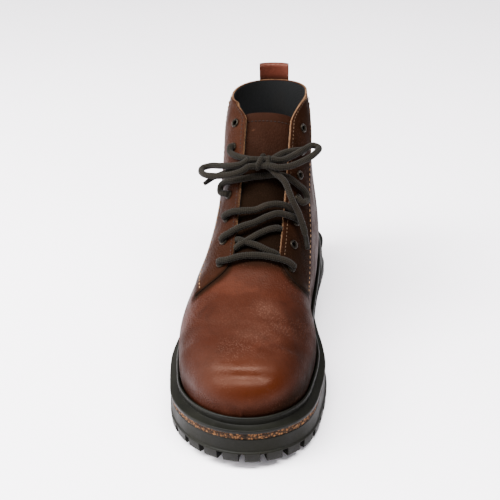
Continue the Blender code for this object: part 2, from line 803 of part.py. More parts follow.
def turned(frame, profile, sides):
    """Loops round a frame's outward axis, one for each radius and height of the profile."""
    base, across, along, out = frame
    angle = np.arange(sides)[:, None] * 2 * np.pi / sides
    around = np.cos(angle) * across + np.sin(angle) * along
    return [base + radius * around + height * out for radius, height in profile]


def make_eyelet(group, brass, name, frame):
    """Flanged eyelet, set through the eyestay and the upper."""
    low = -WALL + GAP
    seat_height = GAP + EYESTAY_THICKNESS + FLANGE_SEAT
    top = seat_height + FLANGE_THICKNESS
    profile = [
        (EYELET_HOLE, low),
        (BARREL_RADIUS, low),
        (BARREL_RADIUS, seat_height),
        (FLANGE_RADIUS, seat_height),
        ((FLANGE_RADIUS + BARREL_RADIUS) / 2, top),
        (EYELET_HOLE, top - FLANGE_THICKNESS / 4),
    ]
    mesh = loft_mesh(name, [turned(frame, profile, EYELET_SIDES)], True)
    return new_object(name, mesh, brass, group)


def make_eyelets(group, cutters, brass, leathers):
    """Both rows of eyelets and their holes in the upper and the eyestays."""
    reach = WALL + EYESTAY_THICKNESS
    for side, label in ((1, "m"), (-1, "l")):
        holes = []
        for row in range(EYELET_ROWS):
            frame = eyelet_frame(side, row)
            make_eyelet(group, brass, "eyelet_%s%d" % (label, row + 1), frame)
            drum = [(BARREL_RADIUS + GAP, -reach), (BARREL_RADIUS + GAP, reach)]
            holes.append(turned(frame, drum, EYELET_SIDES))
        cutter = new_cutter(loft_mesh("cut_holes_" + label, holes), cutters)
        combine(leathers["upper"], cutter)
        combine(leathers[label], cutter)


# Lace where the boot holds it: side in shares of the eyelets' distance from the middle, row in
# eyelets up from the lowest, lift of its middle line off the form in lace diameters.
HELD_COLUMNS = ("side", "row", "lift")
LACE_BAR = table(HELD_COLUMNS, [
    (-0.97, -0.05, 1.10), (-0.72, 0.02, 1.04), (-0.45, 0.15, 0.88), (0.09, 0.25, 0.64),
    (0.61, 0.17, 0.88), (0.85, 0.10, 1.04), (1.00, 0.02, 1.10)])
LACE_CROSS_OVER = table(HELD_COLUMNS, [
    (-0.55, 0.75, 0.04), (-0.35, 0.90, 0.04), (0.09, 1.28, 0.08), (0.37, 1.48, 0.06),
    (0.55, 1.56, 0.04)])
LACE_CROSS_UNDER = table(HELD_COLUMNS, [
    (-0.57, 1.01, 0.00), (-0.35, 0.89, 0.00), (0.05, 0.73, 0.00), (0.35, 0.56, 0.00),
    (0.55, 0.49, 0.00)])
LACE_OVER_LOW = table(HELD_COLUMNS, [
    (-0.97, 0.93, 1.10), (-0.73, 1.22, 1.04), (-0.46, 1.45, 0.82), (-0.11, 1.64, 0.62),
    (0.25, 1.93, 0.70), (0.49, 2.07, 0.90), (0.70, 2.06, 1.06), (0.86, 1.92, 1.10)])
LACE_OVER_HIGH = table(HELD_COLUMNS, [
    (-0.97, 1.98, 1.10), (-0.76, 2.11, 1.04), (-0.50, 2.13, 0.82), (-0.10, 2.18, 0.62),
    (0.17, 2.36, 0.70), (0.44, 2.45, 0.90), (0.71, 2.41, 1.06), (0.88, 2.26, 1.10)])
LACE_SLACK = table(HELD_COLUMNS, [
    (-0.82, 2.68, 1.12), (-1.00, 2.83, 1.14), (-1.14, 3.14, 1.20), (-1.15, 3.40, 1.20),
    (-1.00, 3.48, 1.14), (-0.77, 3.46, 1.04), (-0.56, 3.49, 0.70), (-0.36, 3.59, 0.16),
    (-0.09, 3.64, 0.04), (0.17, 3.69, 0.12), (0.41, 3.68, 0.74), (0.63, 3.63, 1.04),
    (0.86, 3.46, 1.16), (1.06, 3.28, 1.22), (1.12, 3.04, 1.20), (1.02, 2.80, 1.14)])
LACE_LEAD_LATERAL = table(HELD_COLUMNS, [
    (-1.02, 5.02, 1.12), (-0.97, 4.72, 1.10), (-0.80, 4.49, 1.12)])
LACE_LEAD_MEDIAL = table(HELD_COLUMNS, [
    (1.02, 5.02, 1.12), (0.78, 4.82, 1.10), (0.47, 4.57, 1.16)])

# The bow round the knot's middle, all in lace diameters: side to the medial side, climb up the
# lacing line, out away from the boot.
KNOT_CENTRE_SIDE = -0.0021
KNOT_DISTANCE = 0.0758
KNOT_LIFT = 0.0090
BOW_COLUMNS = ("side", "climb", "out")
KNOT_LATERAL = (-1.68, 0.72, -0.60)
KNOT_MEDIAL = (1.68, 0.74, -0.58)
LOOP_LATERAL = table(BOW_COLUMNS, [
    (-1.68, 0.26, 0.44), (-2.72, -0.36, 0.10), (-4.50, -0.45, -0.56), (-6.59, 0.12, -1.90),
    (-8.38, 0.62, -3.10), (-9.45, 0.42, -3.40), (-9.52, -0.57, -2.50), (-8.62, -1.67, -1.40),
    (-7.32, -2.12, -0.70), (-5.83, -2.34, -0.10), (-4.07, -2.30, 0.44), (-2.60, -1.84, 0.70),
    (-1.68, -1.04, 0.62)])
LOOP_MEDIAL = table(BOW_COLUMNS, [
    (1.68, 0.28, 0.58), (3.07, 0.23, 0.30), (4.86, 1.57, -0.84), (6.60, 3.28, -2.00),
    (7.82, 4.37, -3.00), (8.59, 3.95, -2.80), (8.14, 2.33, -1.70), (6.28, 0.41, -0.50),
    (4.42, -0.83, 0.44), (2.89, -1.18, 0.76), (1.68, -0.84, 0.62)])
END_LATERAL = table(BOW_COLUMNS, [
    (-1.68, -0.48, -0.62), (-3.10, -0.64, -1.20), (-4.70, -0.78, -1.86), (-6.30, -1.12, -2.40),
    (-7.62, -1.69, -2.60), (-8.99, -2.65, -2.80)])
END_MEDIAL = table(BOW_COLUMNS, [
    (1.60, -0.80, -0.56), (2.60, -1.80, -0.26), (3.83, -2.99, -0.12), (4.68, -4.72, -0.28),
    (5.30, -6.14, -0.52), (6.02, -7.29, -1.48), (6.65, -8.67, -2.50), (7.11, -9.97, -3.30),
    (7.43, -11.40, -3.80), (7.62, -12.45, -4.00)])


def held_points(rows):
    """Points of a table of the held lace."""
    distance = EYELET_START + EYELET_PITCH * rows["row"]
    base = lace_line(EYELET_SIDE * rows["side"], distance)
    return base + normal(base) * (LACE_DIAMETER * rows["lift"])[:, None]


def knot_frame():
    """Middle of the knot and its axes: side, climb and out."""
    side = np.array([1.0, 0.0, 0.0])
    climb = np.array([0.0, math.cos(LACE_SLOPE), math.sin(LACE_SLOPE)])
    centre = lace_line(KNOT_CENTRE_SIDE, KNOT_DISTANCE)
    out = np.cross(side, climb)
    return centre + KNOT_LIFT * out, side, climb, out


def bow_points(rows):
    """Points of a table of the bow."""
    centre, side, climb, out = knot_frame()
    shares = np.stack([rows["side"], rows["climb"], rows["out"]], -1)
    return centre + LACE_DIAMETER * shares @ np.array([side, climb, out])


def make_held(group, fabric, name, points):
    """Solid length of lace through points."""
    path = curve_through(points, LACE_DIAMETER)
    mesh = loft_mesh(name, [sweep(path, LACE_DIAMETER / 2, LACE_SIDES)])
    return new_object(name, mesh, fabric, group)


def make_cord(group, fabric, name, points):
    """Free length of lace through points, as a curve with a round section."""
    path = curve_through(points, LACE_DIAMETER)
    line = bpy.data.curves.new(name, "CURVE")
    line.dimensions = "3D"
    line.bevel_depth = LACE_DIAMETER / 2
    line.bevel_resolution = 2
    line.use_fill_caps = True
    spline = line.splines.new("POLY")
    spline.points.add(len(path) - 1)
    for point, place in zip(spline.points, path):
        point.co = (*place, 1.0)
    return new_object(name, line, fabric, group)


def make_knot(group, fabric):
    """Outer shape of the tied knot, a rounded block."""
    centre, side, climb, out = knot_frame()
    angle = np.arange(KNOT_SIDES) * 2 * np.pi / KNOT_SIDES
    rings = []
    for turn in np.linspace(-KNOT_SWEEP, KNOT_SWEEP, KNOT_RINGS):
        reach = np.cos(turn) ** KNOT_TAPER
        u = np.sign(np.cos(angle)) * np.abs(np.cos(angle)) ** KNOT_SQUARE * KNOT_CLIMB * reach
        w = np.sign(np.sin(angle)) * np.abs(np.sin(angle)) ** KNOT_SQUARE * KNOT_OUT * reach
        along = KNOT_SIDE * np.sin(turn) / np.sin(KNOT_SWEEP)
        rings.append(centre + along * side + u[:, None] * climb + w[:, None] * out)
    return new_object("lace_knot", loft_mesh("lace_knot", [rings]), fabric, group)


def make_laces(group, cutters, fabric):
    """All of the lace: bar, crossings, leads, knot, loops and ends."""
    held = {
        "lace_bar": held_points(LACE_BAR),
        "lace_cross": held_points(LACE_CROSS_OVER),
        "lace_over_low": held_points(LACE_OVER_LOW),
        "lace_over_high": held_points(LACE_OVER_HIGH),
        "lace_slack": held_points(LACE_SLACK),
        "lace_lead_lateral": np.append(held_points(LACE_LEAD_LATERAL), bow_points(
            table(BOW_COLUMNS, [KNOT_LATERAL])), 0),
        "lace_lead_medial": np.append(held_points(LACE_LEAD_MEDIAL), bow_points(
            table(BOW_COLUMNS, [KNOT_MEDIAL])), 0),
    }
    made = {name: make_held(group, fabric, name, points) for name, points in held.items()}
    under = curve_through(held_points(LACE_CROSS_UNDER), LACE_DIAMETER)
    tube = loft_mesh("join_cross", [sweep(under, LACE_DIAMETER / 2, LACE_SIDES)])
    combine(made["lace_cross"], new_cutter(tube, cutters), "UNION")
    make_knot(group, fabric)
    make_cord(group, fabric, "lace_loop_lateral", bow_points(LOOP_LATERAL))
    make_cord(group, fabric, "lace_loop_medial", bow_points(LOOP_MEDIAL))
    make_cord(group, fabric, "lace_end_lateral", bow_points(END_LATERAL))
    make_cord(group, fabric, "lace_end_medial", bow_points(END_MEDIAL))


PULL_COLUMNS = 6
PULL_STEPS = 5


def pull_profile():
    """Middle line of the folded strap: distance off the upper's back and height."""
    inner = GAP + PULL_THICKNESS / 2
    outer = inner + PULL_THICKNESS + GAP
    radius = PULL_EYE + PULL_THICKNESS / 2
    top = PULL_TOP_HEIGHT - PULL_THICKNESS / 2 - radius
    leg = np.linspace(PULL_FOOT_HEIGHT, top, PULL_STEPS)
    turn = np.linspace(0.0, np.pi, PULL_STEPS)[1:-1]
    spread = (2 * radius - (outer - inner)) * ease(leg, top - 0.012, top)
    front = np.column_stack([np.full(PULL_STEPS, inner), leg])
    fold = np.column_stack([inner + radius - radius * np.cos(turn), top + radius * np.sin(turn)])
    back = np.column_stack([outer + spread, leg])[::-1]
    return np.concatenate([front, fold, back])


def make_pull_loop(group, leather):
    """Folded strap sewn on the back of the collar."""
    line = pull_profile()
    along = np.gradient(line, axis=0)
    along /= np.linalg.norm(along, axis=-1, keepdims=True)
    across = np.linspace(-0.5, 0.5, PULL_COLUMNS) * PULL_WIDTH
    axis = (SHAFT_AXIS_ALONG - 0.5) * SOLE_LENGTH
    middle = SHAFT["centre"][-1] * SHAFT_WIDTH / 2
    faces = []
    for half in (PULL_THICKNESS / 2, -PULL_THICKNESS / 2):
        off = line[:, 0] - along[:, 1] * half
        height = line[:, 1] + along[:, 0] * half
        x = middle + across + 0 * height[:, None]
        origin = np.stack([x, axis + 0 * x, height[:, None] + 0 * x], -1)
        face = cast(origin, (0.0, 1.0, 0.0))
        face[..., 1] += off[:, None]
        faces.append(face)
    return new_object("pull_loop", shell_mesh("pull_loop", faces[0], faces[1], False), leather, group)


def clear_scene():
    """Removes the scene's own objects."""
    for obj in list(bpy.data.objects):
        bpy.data.objects.remove(obj)


def main():
    """Builds the boot."""
    clear_scene()
    group = bpy.data.collections.new("lace_up_boot")
    cutters = bpy.data.collections.new("cutters")
    bpy.context.scene.collection.children.link(group)
    bpy.context.scene.collection.children.link(cutters)
    leather = material("brown_leather", (0.16, 0.055, 0.03), 0.45)
    rubber = material("black_rubber", (0.03, 0.03, 0.028), 0.6)
    cork = material("cork", (0.42, 0.2, 0.08), 0.9)
    lining = material("black_lining", (0.02, 0.02, 0.02), 0.9)
    brass = material("aged_brass", (0.25, 0.2, 0.13), 0.35, 1.0)
    fabric = material("black_lace", (0.03, 0.025, 0.02), 0.8)
    make_outsole(group, cutters, rubber)
    make_cork(group, cork)
    make_welt(group, rubber)
    make_insole(group, lining)
    leathers = {
        "upper": make_upper(group, leather),
        "m": make_eyestay(group, leather, "eyestay_medial", 1),
        "l": make_eyestay(group, leather, "eyestay_lateral", -1),
    }
    make_tongue(group, leather)
    make_pull_loop(group, leather)
    make_eyelets(group, cutters, brass, leathers)
    make_laces(group, cutters, fabric)


main()
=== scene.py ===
"""Looks of the lace-up boot: leather, lining, rubber, cork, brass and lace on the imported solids.

Metres, +Z up, the toe towards -Y, the medial (inner) side towards +X. Every leather and rubber
surface comes from form(), the signed distance-like value of the last with its shaft, worked out
on fine grids, so each piece stands where its solid does.
"""
import math

import bmesh
import bpy
import numpy as np
from mathutils import Matrix


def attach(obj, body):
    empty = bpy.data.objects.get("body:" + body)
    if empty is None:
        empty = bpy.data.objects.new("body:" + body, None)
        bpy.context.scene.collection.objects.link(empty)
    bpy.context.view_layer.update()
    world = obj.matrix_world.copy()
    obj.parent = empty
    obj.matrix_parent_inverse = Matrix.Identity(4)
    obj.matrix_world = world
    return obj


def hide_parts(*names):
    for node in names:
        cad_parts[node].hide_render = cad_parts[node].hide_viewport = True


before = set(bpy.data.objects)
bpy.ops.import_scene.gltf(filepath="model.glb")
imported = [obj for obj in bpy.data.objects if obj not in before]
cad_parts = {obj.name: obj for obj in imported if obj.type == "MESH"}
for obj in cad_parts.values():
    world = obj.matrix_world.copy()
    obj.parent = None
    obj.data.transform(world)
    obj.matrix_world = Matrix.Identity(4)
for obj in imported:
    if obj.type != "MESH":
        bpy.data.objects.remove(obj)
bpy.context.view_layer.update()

# Sizes of the sole.
SOLE_LENGTH = 0.304
BALL_WIDTH = 0.119
HEEL_WIDTH = 0.084
FOREFOOT_THICKNESS = 0.0195
HEEL_LIFT = 0.007
TOE_SPRING = 0.0070
SPRING_SHARE = 0.27
LUG_DEPTH = 0.0075
CORK_THICKNESS = 0.0045
WELT_THICKNESS = 0.0030
LEDGE_WIDTH = 0.0062
BEAD_WIDTH = 0.0032
BEAD_HEIGHT = 0.0056

# Sizes of the upper.
COLLAR_HEIGHT = 0.176
THROAT_HEIGHT = 0.0915
SHAFT_WIDTH = 0.072
THROAT_GAP = 0.0352
WALL = 0.0022
LINING = 0.0007
LINING_GAP = 0.00005
LINING_DROP = 0.0006
EYESTAY_THICKNESS = 0.0012
TONGUE_THICKNESS = 0.0028
TONGUE_WIDTH = 0.058
TONGUE_CORNER = 0.0040
TONGUE_GAP = 0.0011

# Sizes of the tread.
TREAD_PITCH = 0.0156
NOTCH_WIDTH = 0.0052
NOTCH_REACH = 0.0125
NOTCH_TAPER = 0.7
GROOVE_WIDTH = 0.0046
GROOVE_MARGIN = 0.0175
WAIST_FRONT = 0.500
WAIST_BACK = 0.690
WAIST_HEIGHT = 0.0080

# Sizes of the eyelets, the lace and the pull loop.
EYELET_ROWS = 7
EYELET_SIDE = 0.0255
EYELET_START = -0.0040
EYELET_PITCH = 0.0198
EYELET_HOLE = 0.0019
BARREL_RADIUS = 0.0025
FLANGE_RADIUS = 0.0036
FLANGE_SEAT = 0.0004
LACE_DIAMETER = 0.0050
PULL_WIDTH = 0.0245
PULL_THICKNESS = 0.0016
PULL_FOOT_HEIGHT = 0.150
PULL_TOP_HEIGHT = 0.1895
PULL_EYE = 0.0012

GAP = 0.0003
EDGE_GAP = 0.0006

# Rays that look for the form: their length, steps and halvings.
RAY_LENGTH = 0.26
RAY_STEPS = 53
RAY_HALVINGS = 22

# Camera: the photograph's own place, tilt and lens, turned in its own plane to centre the boot.
CAMERA_PLACE = (0.0923, -0.6413, 0.4613)
CAMERA_PITCH = math.radians(30.10)
CAMERA_YAW = 0.0629
CAMERA_ROLL = math.radians(-0.21)
CAMERA_PAN = math.radians(4.24)
CAMERA_LENS = 69.25
SENSOR_WIDTH = 36.0

# Studio: name, place, width, depth and power of each light, and the floor's edges in metres.
LIGHTS = [
    ("overhead_light", (-0.22, -0.38, 1.45), 2.70, 0.36, 182.0),
    ("side_light", (-1.40, -0.30, 0.80), 2.00, 1.60, 90.0),
]
LIGHT_AIM = (0.0, -0.05, 0.05)
WORLD_COLOUR = (0.98, 0.97, 1.0, 1.0)
WORLD_STRENGTH = 0.98
FLOOR_EDGES = (-4.0, 4.0, -4.0, 6.0)


def table(columns, rows):
    """Named columns of a short table, each as an array, from rows of numbers."""
    values = np.array(rows, float)
    return {name: values[:, i] for i, name in enumerate(columns)}


# Plan of the sole: along is a share of its length from the toe, centre and ball are shares of
# half the ball width, heel is a share of half the heel width. The half width is their sum.
PLAN = table(("along", "centre", "ball", "heel"), [
    (0.00, 0.110, 0.84, 0.00),
    (0.08, 0.080, 0.88, 0.00),
    (0.15, 0.045, 0.915, 0.00),
    (0.24, 0.020, 0.98, 0.00),
    (0.30, 0.000, 1.00, 0.00),
    (0.36, -0.020, 0.975, 0.00),
    (0.45, -0.045, 0.89, 0.00),
    (0.55, -0.040, 0.40, 0.55),
    (0.65, 0.000, 0.00, 1.03),
    (0.75, 0.060, 0.00, 0.99),
    (0.85, 0.100, 0.00, 0.985),
    (0.93, 0.112, 0.00, 0.975),
    (1.00, 0.110, 0.00, 0.95),
])
TOE_ROUND = 0.17
HEEL_ROUND = 0.145

# Ridge of the foot: height of the upper's top over the foot's length, in throat heights.
RIDGE = table(("along", "height"), [
    (0.00, 0.790),
    (0.10, 0.815),
    (0.20, 0.850),
    (0.30, 0.915),
    (0.40, 1.010),
    (0.50, 1.100),
    (0.62, 1.150),
    (0.80, 1.100),
    (1.00, 1.000),
])

# Shaft: along is a share of the collar height, front and back are shares of the sole's length
# from the toe, width and centre are shares of half the shaft width.
SHAFT = table(("along", "front", "back", "width", "centre"), [
    (0.10, 0.290, 0.942, 0.98, 0.16),
    (0.28, 0.320, 0.955, 1.10, 0.16),
    (0.40, 0.345, 0.960, 1.13, 0.15),
    (0.52, 0.385, 0.959, 1.11, 0.12),
    (0.63, 0.463, 0.956, 1.03, 0.11),
    (0.74, 0.540, 0.949, 0.975, 0.11),
    (0.85, 0.612, 0.947, 0.955, 0.11),
    (0.93, 0.658, 0.950, 0.92, 0.10),
    (1.00, 0.700, 0.954, 0.86, 0.10),
    (1.15, 0.770, 0.960, 0.80, 0.10),
])


def smooth(rows, name, at):
    """A table's column at any place along it: a cubic through the rows."""
    along, value = rows["along"], rows[name]
    slope = np.gradient(value, along)
    i = np.clip(np.searchsorted(along, at) - 1, 0, len(along) - 2)
    step = along[i + 1] - along[i]
    t = np.clip((at - along[i]) / step, 0.0, 1.0)
    near = (1 + 2 * t) * (1 - t) ** 2 * value[i] + t * (1 - t) ** 2 * step * slope[i]
    far = t * t * (3 - 2 * t) * value[i + 1] - t * t * (1 - t) * step * slope[i + 1]
    return near + far


def ease(value, low, high):
    """0 below low, 1 above high, with a soft S between."""
    t = np.clip((value - low) / (high - low), 0.0, 1.0)
    return t * t * (3 - 2 * t)


def bell(distance, width):
    """1 on a line, falling to 0 beside it: exp of minus the square of distance over width."""
    return np.exp(-(distance / width) ** 2)


def round_ends(share, power=2.0):
    """Factor that closes a width at the toe and the heel on a round end."""
    toe = np.clip(1 - share / TOE_ROUND, 0.0, 1.0)
    heel = np.clip(1 - (1 - share) / HEEL_ROUND, 0.0, 1.0)
    return (1 - toe ** power) ** (1 / power) * (1 - heel ** power) ** (1 / power)


def share_of(y):
    """Share of the sole's length from the toe at y."""
    return np.clip(y / SOLE_LENGTH + 0.5, 0.0, 1.0)


def plan_centre(share):
    """Middle line of the sole in x."""
    return smooth(PLAN, "centre", share) * BALL_WIDTH / 2


def plan_width(share):
    """Half width of the sole before its ends are rounded."""
    return (smooth(PLAN, "ball", share) * BALL_WIDTH + smooth(PLAN, "heel", share) * HEEL_WIDTH) / 2


def spring(share):
    """Rise of the tread off the floor towards the toe."""
    return TOE_SPRING * np.clip((SPRING_SHARE - share) / SPRING_SHARE, 0.0, 1.0) ** 2


def seat(share):
    """Top of the outsole: its thickness, the toe spring and the lift under the heel."""
    return FOREFOOT_THICKNESS + spring(share) + HEEL_LIFT * ease(share, 0.42, 0.74)


def cork_top(share):
    """Top of the cork midsole."""
    return seat(share) + GAP + CORK_THICKNESS


def welt_floor(share):
    """Underside of the welt."""
    return cork_top(share) + GAP


def ledge(share):
    """Top of the welt, on which the upper stands."""
    return welt_floor(share) + WELT_THICKNESS


FOOT_INSET = LEDGE_WIDTH + BEAD_WIDTH
BULGE_HEIGHT = 0.013
LOWER_CURVE = 0.040
FOOT_TOE = -SOLE_LENGTH / 2 + FOOT_INSET + 0.0005
FOOT_HEEL = SOLE_LENGTH / 2 - FOOT_INSET - 0.0028
FOOT_POWER = 2.3
SHAFT_POWER = 2.2
BLEND = 0.012


def soft_min(a, b, reach):
    """The lower of two values, with a fillet of the given reach where they meet."""
    h = np.clip(0.5 + 0.5 * (b - a) / reach, 0.0, 1.0)
    return b + (a - b) * h - reach * h * (1 - h)


def form(point):
    """Below zero inside the last and its shaft, zero on the upper's outer face, about metres.

    The foot is a superellipse arch on each cross section, widest a little above the welt. The
    shaft is a superellipse oval on each level, from the front line to the back line.
    """
    x, y, z = point[..., 0], point[..., 1], point[..., 2]
    along = np.clip((y - FOOT_TOE) / (FOOT_HEEL - FOOT_TOE), 0.0, 1.0)
    beyond = np.maximum(FOOT_TOE - y, 0.0) + np.maximum(y - FOOT_HEEL, 0.0)
    base = ledge(share_of(y)) + BULGE_HEIGHT
    closing = np.maximum(round_ends(along), 0.02)
    half = (plan_width(along) - FOOT_INSET + 0.0015) * closing
    tall = (smooth(RIDGE, "height", along) * THROAT_HEIGHT - base)
    tall = tall * np.maximum(round_ends(along, 2.3), 0.02)
    rise = np.where(z > base, (z - base) / tall, (base - z) / LOWER_CURVE)
    side = np.abs(x - plan_centre(along)) / half
    foot = (side ** FOOT_POWER + np.abs(rise) ** FOOT_POWER) ** (1 / FOOT_POWER) - 1
    foot = foot * np.minimum(half, 0.040) + beyond
    level = z / COLLAR_HEIGHT
    front = (smooth(SHAFT, "front", level) - 0.5) * SOLE_LENGTH
    back = (smooth(SHAFT, "back", level) - 0.5) * SOLE_LENGTH
    wide = smooth(SHAFT, "width", level) * SHAFT_WIDTH / 2
    middle = smooth(SHAFT, "centre", level) * SHAFT_WIDTH / 2
    run = (y - (front + back) / 2) / ((back - front) / 2)
    oval = (np.abs(run) ** SHAFT_POWER + np.abs((x - middle) / wide) ** SHAFT_POWER)
    shaft = (oval ** (1 / SHAFT_POWER) - 1) * wide
    return soft_min(foot, shaft, BLEND)


def unit(vectors):
    """Vectors of length one."""
    return vectors / np.linalg.norm(vectors, axis=-1, keepdims=True)


def normal(point):
    """Outward unit normal of the form: its slope by central differences."""
    step = 0.0004
    slope = [form(point + step * axis) - form(point - step * axis) for axis in np.eye(3)]
    return unit(np.stack(slope, -1))


def cast(origin, direction):
    """Where rays from inside meet the form: a step along each finds it, then halving."""
    origin, direction = np.broadcast_arrays(np.asarray(origin, float), np.asarray(direction, float))
    direction = unit(direction)
    reach = np.linspace(0.0, RAY_LENGTH, RAY_STEPS)
    outside = np.stack([form(origin + direction * r) > 0 for r in reach])
    first = np.maximum(outside.argmax(0), 1)
    low, high = reach[first - 1], reach[first]
    for _ in range(RAY_HALVINGS):
        middle = (low + high) / 2
        out = form(origin + direction * middle[..., None]) > 0
        low, high = np.where(out, low, middle), np.where(out, middle, high)
    return origin + direction * high[..., None]


def outline(count, inset=0.0):
    """Plan of the sole as a loop of count points in x and y, moved inwards by inset."""
    angle = np.arange(count) * 2 * np.pi / count
    share = (1 - np.cos(angle)) / 2
    side = np.sign(np.round(np.sin(angle), 6))
    half = plan_width(share) * round_ends(share)
    loop = np.stack([plan_centre(share) + side * half, (share - 0.5) * SOLE_LENGTH], -1)
    along = np.roll(loop, -1, 0) - np.roll(loop, 1, 0)
    return loop - unit(np.stack([along[:, 1], -along[:, 0]], -1)) * inset


def ring(count, inset, height):
    """Outline at an inset, raised to height, a function of the share of the length."""
    loop = outline(count, inset)
    return np.column_stack([loop, height(share_of(loop[:, 1]))])


def foot_origin(count):
    """Point on the middle line from which each column's foot ray starts, in x and y."""
    y = np.clip(outline(count)[:, 1], (0.20 - 0.5) * SOLE_LENGTH, (0.84 - 0.5) * SOLE_LENGTH)
    return np.column_stack([plan_centre(share_of(y)), y])


def foot_ring(count, offset, lift):
    """Loop on the form at a lift over the ledge, moved outwards in plan by offset."""
    start, loop = foot_origin(count), outline(count)
    height = ledge(share_of(loop[:, 1])) + lift
    point = cast(np.column_stack([start, height]), np.column_stack([loop - start, np.zeros(count)]))
    return point + unit(normal(point) * (1, 1, 0)) * offset


# Lacing line: it climbs the front of the shaft from the lowest eyelets to the collar.
LACE_FOOT_ALONG = 0.418
LACE_FOOT_HEIGHT = 0.091
LACE_SLOPE = 0.7088
LACE_CLIMB = np.array([0.0, math.cos(LACE_SLOPE), math.sin(LACE_SLOPE)])
LACE_OUT = np.array([0.0, -math.sin(LACE_SLOPE), math.cos(LACE_SLOPE)])
LACE_LENGTH = 0.134
THROAT_CENTRE = 0.0060
THROAT_LEAN = 0.0025
THROAT_FLARE = 0.0090
FLARE_START = 0.116
COLLAR_RISE = 0.004
MEDIAL_RISE = 0.013
CORNER_FADE = 0.3
SHAFT_AXIS = (0.800 - 0.5) * SOLE_LENGTH
SHAFT_MIDDLE = SHAFT["centre"][-1] * SHAFT_WIDTH / 2
VAMP_ORIGIN = (0.0045, -0.052, 0.055)
COLLAR_ORIGIN_DROP = 0.030
CAST_DEPTH = 0.030
SEAM_SHARE = 0.5
CORNER_SHARE = 0.5


def lace_line(side, distance):
    """Point on the form beside the lacing line, at a distance up it from the lowest eyelets."""
    side, distance = np.broadcast_arrays(np.asarray(side, float), np.asarray(distance, float))
    foot = np.array([0.0, (LACE_FOOT_ALONG - 0.5) * SOLE_LENGTH, LACE_FOOT_HEIGHT])
    origin = foot + LACE_CLIMB * distance[..., None] - LACE_OUT * CAST_DEPTH
    origin[..., 0] = THROAT_CENTRE + side + THROAT_LEAN * (distance / LACE_LENGTH - 0.5)
    return cast(origin, LACE_OUT)


def facing_point(side, share):
    """Point on the throat's edge, from its foot (0) to the collar's front corner (1)."""
    distance = LACE_LENGTH * share
    flare = ease(distance, FLARE_START, LACE_LENGTH)
    half = THROAT_GAP / 2 + THROAT_FLARE * flare
    return lace_line(side * half, distance + MEDIAL_RISE * np.maximum(side, 0) * flare)


def collar_point(side, share):
    """Point on the collar, from its front corner (0) round to the middle of the back (1)."""
    side, share = np.broadcast_arrays(np.asarray(side, float), np.asarray(share, float))
    corner = facing_point(side, np.ones(share.shape))
    start = np.arctan2(np.abs(corner[..., 0] - SHAFT_MIDDLE), SHAFT_AXIS - corner[..., 1])
    turn = start + (np.pi - start) * share
    corner_rise = corner[..., 2] - COLLAR_HEIGHT - COLLAR_RISE
    z = COLLAR_HEIGHT + COLLAR_RISE * (1 - share) ** 1.5
    z = z + corner_rise * (1 - ease(share, 0.0, CORNER_FADE))
    origin = np.stack([SHAFT_MIDDLE + 0 * share, SHAFT_AXIS + 0 * share, z], -1)
    return cast(origin, np.stack([side * np.sin(turn), -np.cos(turn), 0 * turn], -1))


def top_edge(side, share):
    """Throat edge and collar as one line from the throat's foot to the middle of the back."""
    facing = facing_point(side, np.clip(share / CORNER_SHARE, 0.0, 1.0))
    collar = collar_point(side, np.clip((share - CORNER_SHARE) / (1 - CORNER_SHARE), 0.0, 1.0))
    return np.where((share < CORNER_SHARE)[..., None], facing, collar)


def upper_face(count, rows):
    """Grid on the form from the welt to the top edge, its columns round the boot from the toe.

    Rays start on a line between the foot's middle and the shaft's axis and turn from the foot's
    direction to the top edge's.
    """
    half = count // 2
    index = np.arange(count)
    turn = np.minimum(index, count - index)
    side = np.where(index <= half, 1.0, -1.0)
    seam = half * SEAM_SHARE
    vamp = lace_line(side * THROAT_GAP / 2 * np.minimum(turn / seam, 1.0), 0.0)
    share = np.clip((turn - seam) / (half - seam), 0.0, 1.0)
    top = np.where((turn <= seam)[:, None], vamp, top_edge(side, share))
    high = top * (0, 0, 1) + (SHAFT_MIDDLE, SHAFT_AXIS, -COLLAR_ORIGIN_DROP)
    mix = ease(share, 0.0, 0.6)[:, None]
    top_origin = np.array(VAMP_ORIGIN) * (1 - mix) + high * mix
    foot = foot_ring(count, 0.0, GAP)
    origin = np.column_stack([foot_origin(count), foot[:, 2]])
    t = np.linspace(0.0, 1.0, rows)[:, None, None]
    low, high = unit(foot - origin), unit(top - top_origin)
    return cast(origin * (1 - t) + top_origin * t, low * (1 - t) + high * t)


# Outline of each eyestay beside the throat: side is the distance from the middle of the
# throat as a share of half the shaft width, along a share of the sole's length, height a share
# of the collar height. Its front edge runs from the throat's foot to the lower corner, its
# rear edge from that corner up to the collar.
FRONT_EDGE = {
    1: table(("side", "along", "height"), [
        (0.49, 0.400, 0.545), (0.76, 0.384, 0.465), (0.95, 0.398, 0.400), (1.10, 0.418, 0.355)]),
    -1: table(("side", "along", "height"), [
        (0.49, 0.402, 0.545), (0.66, 0.376, 0.508), (0.93, 0.356, 0.469), (1.22, 0.343, 0.418)]),
}
REAR_EDGE = {
    1: table(("side", "along", "height"), [
        (1.10, 0.418, 0.355), (1.15, 0.480, 0.385), (1.10, 0.565, 0.520), (0.98, 0.665, 0.680),
        (0.92, 0.765, 0.860), (0.90, 0.830, 1.010)]),
    -1: table(("side", "along", "height"), [
        (1.22, 0.343, 0.418), (1.25, 0.440, 0.430), (1.15, 0.540, 0.560), (1.02, 0.645, 0.710),
        (0.95, 0.750, 0.880), (0.90, 0.815, 1.012)]),
}
SPINE_FOOT = (0.0045, -0.006, 0.060)
SPINE_TOP = (0.0045, 0.092, 0.150)
FRONT_FADE = 7.0
TOP_FADE = 18.0


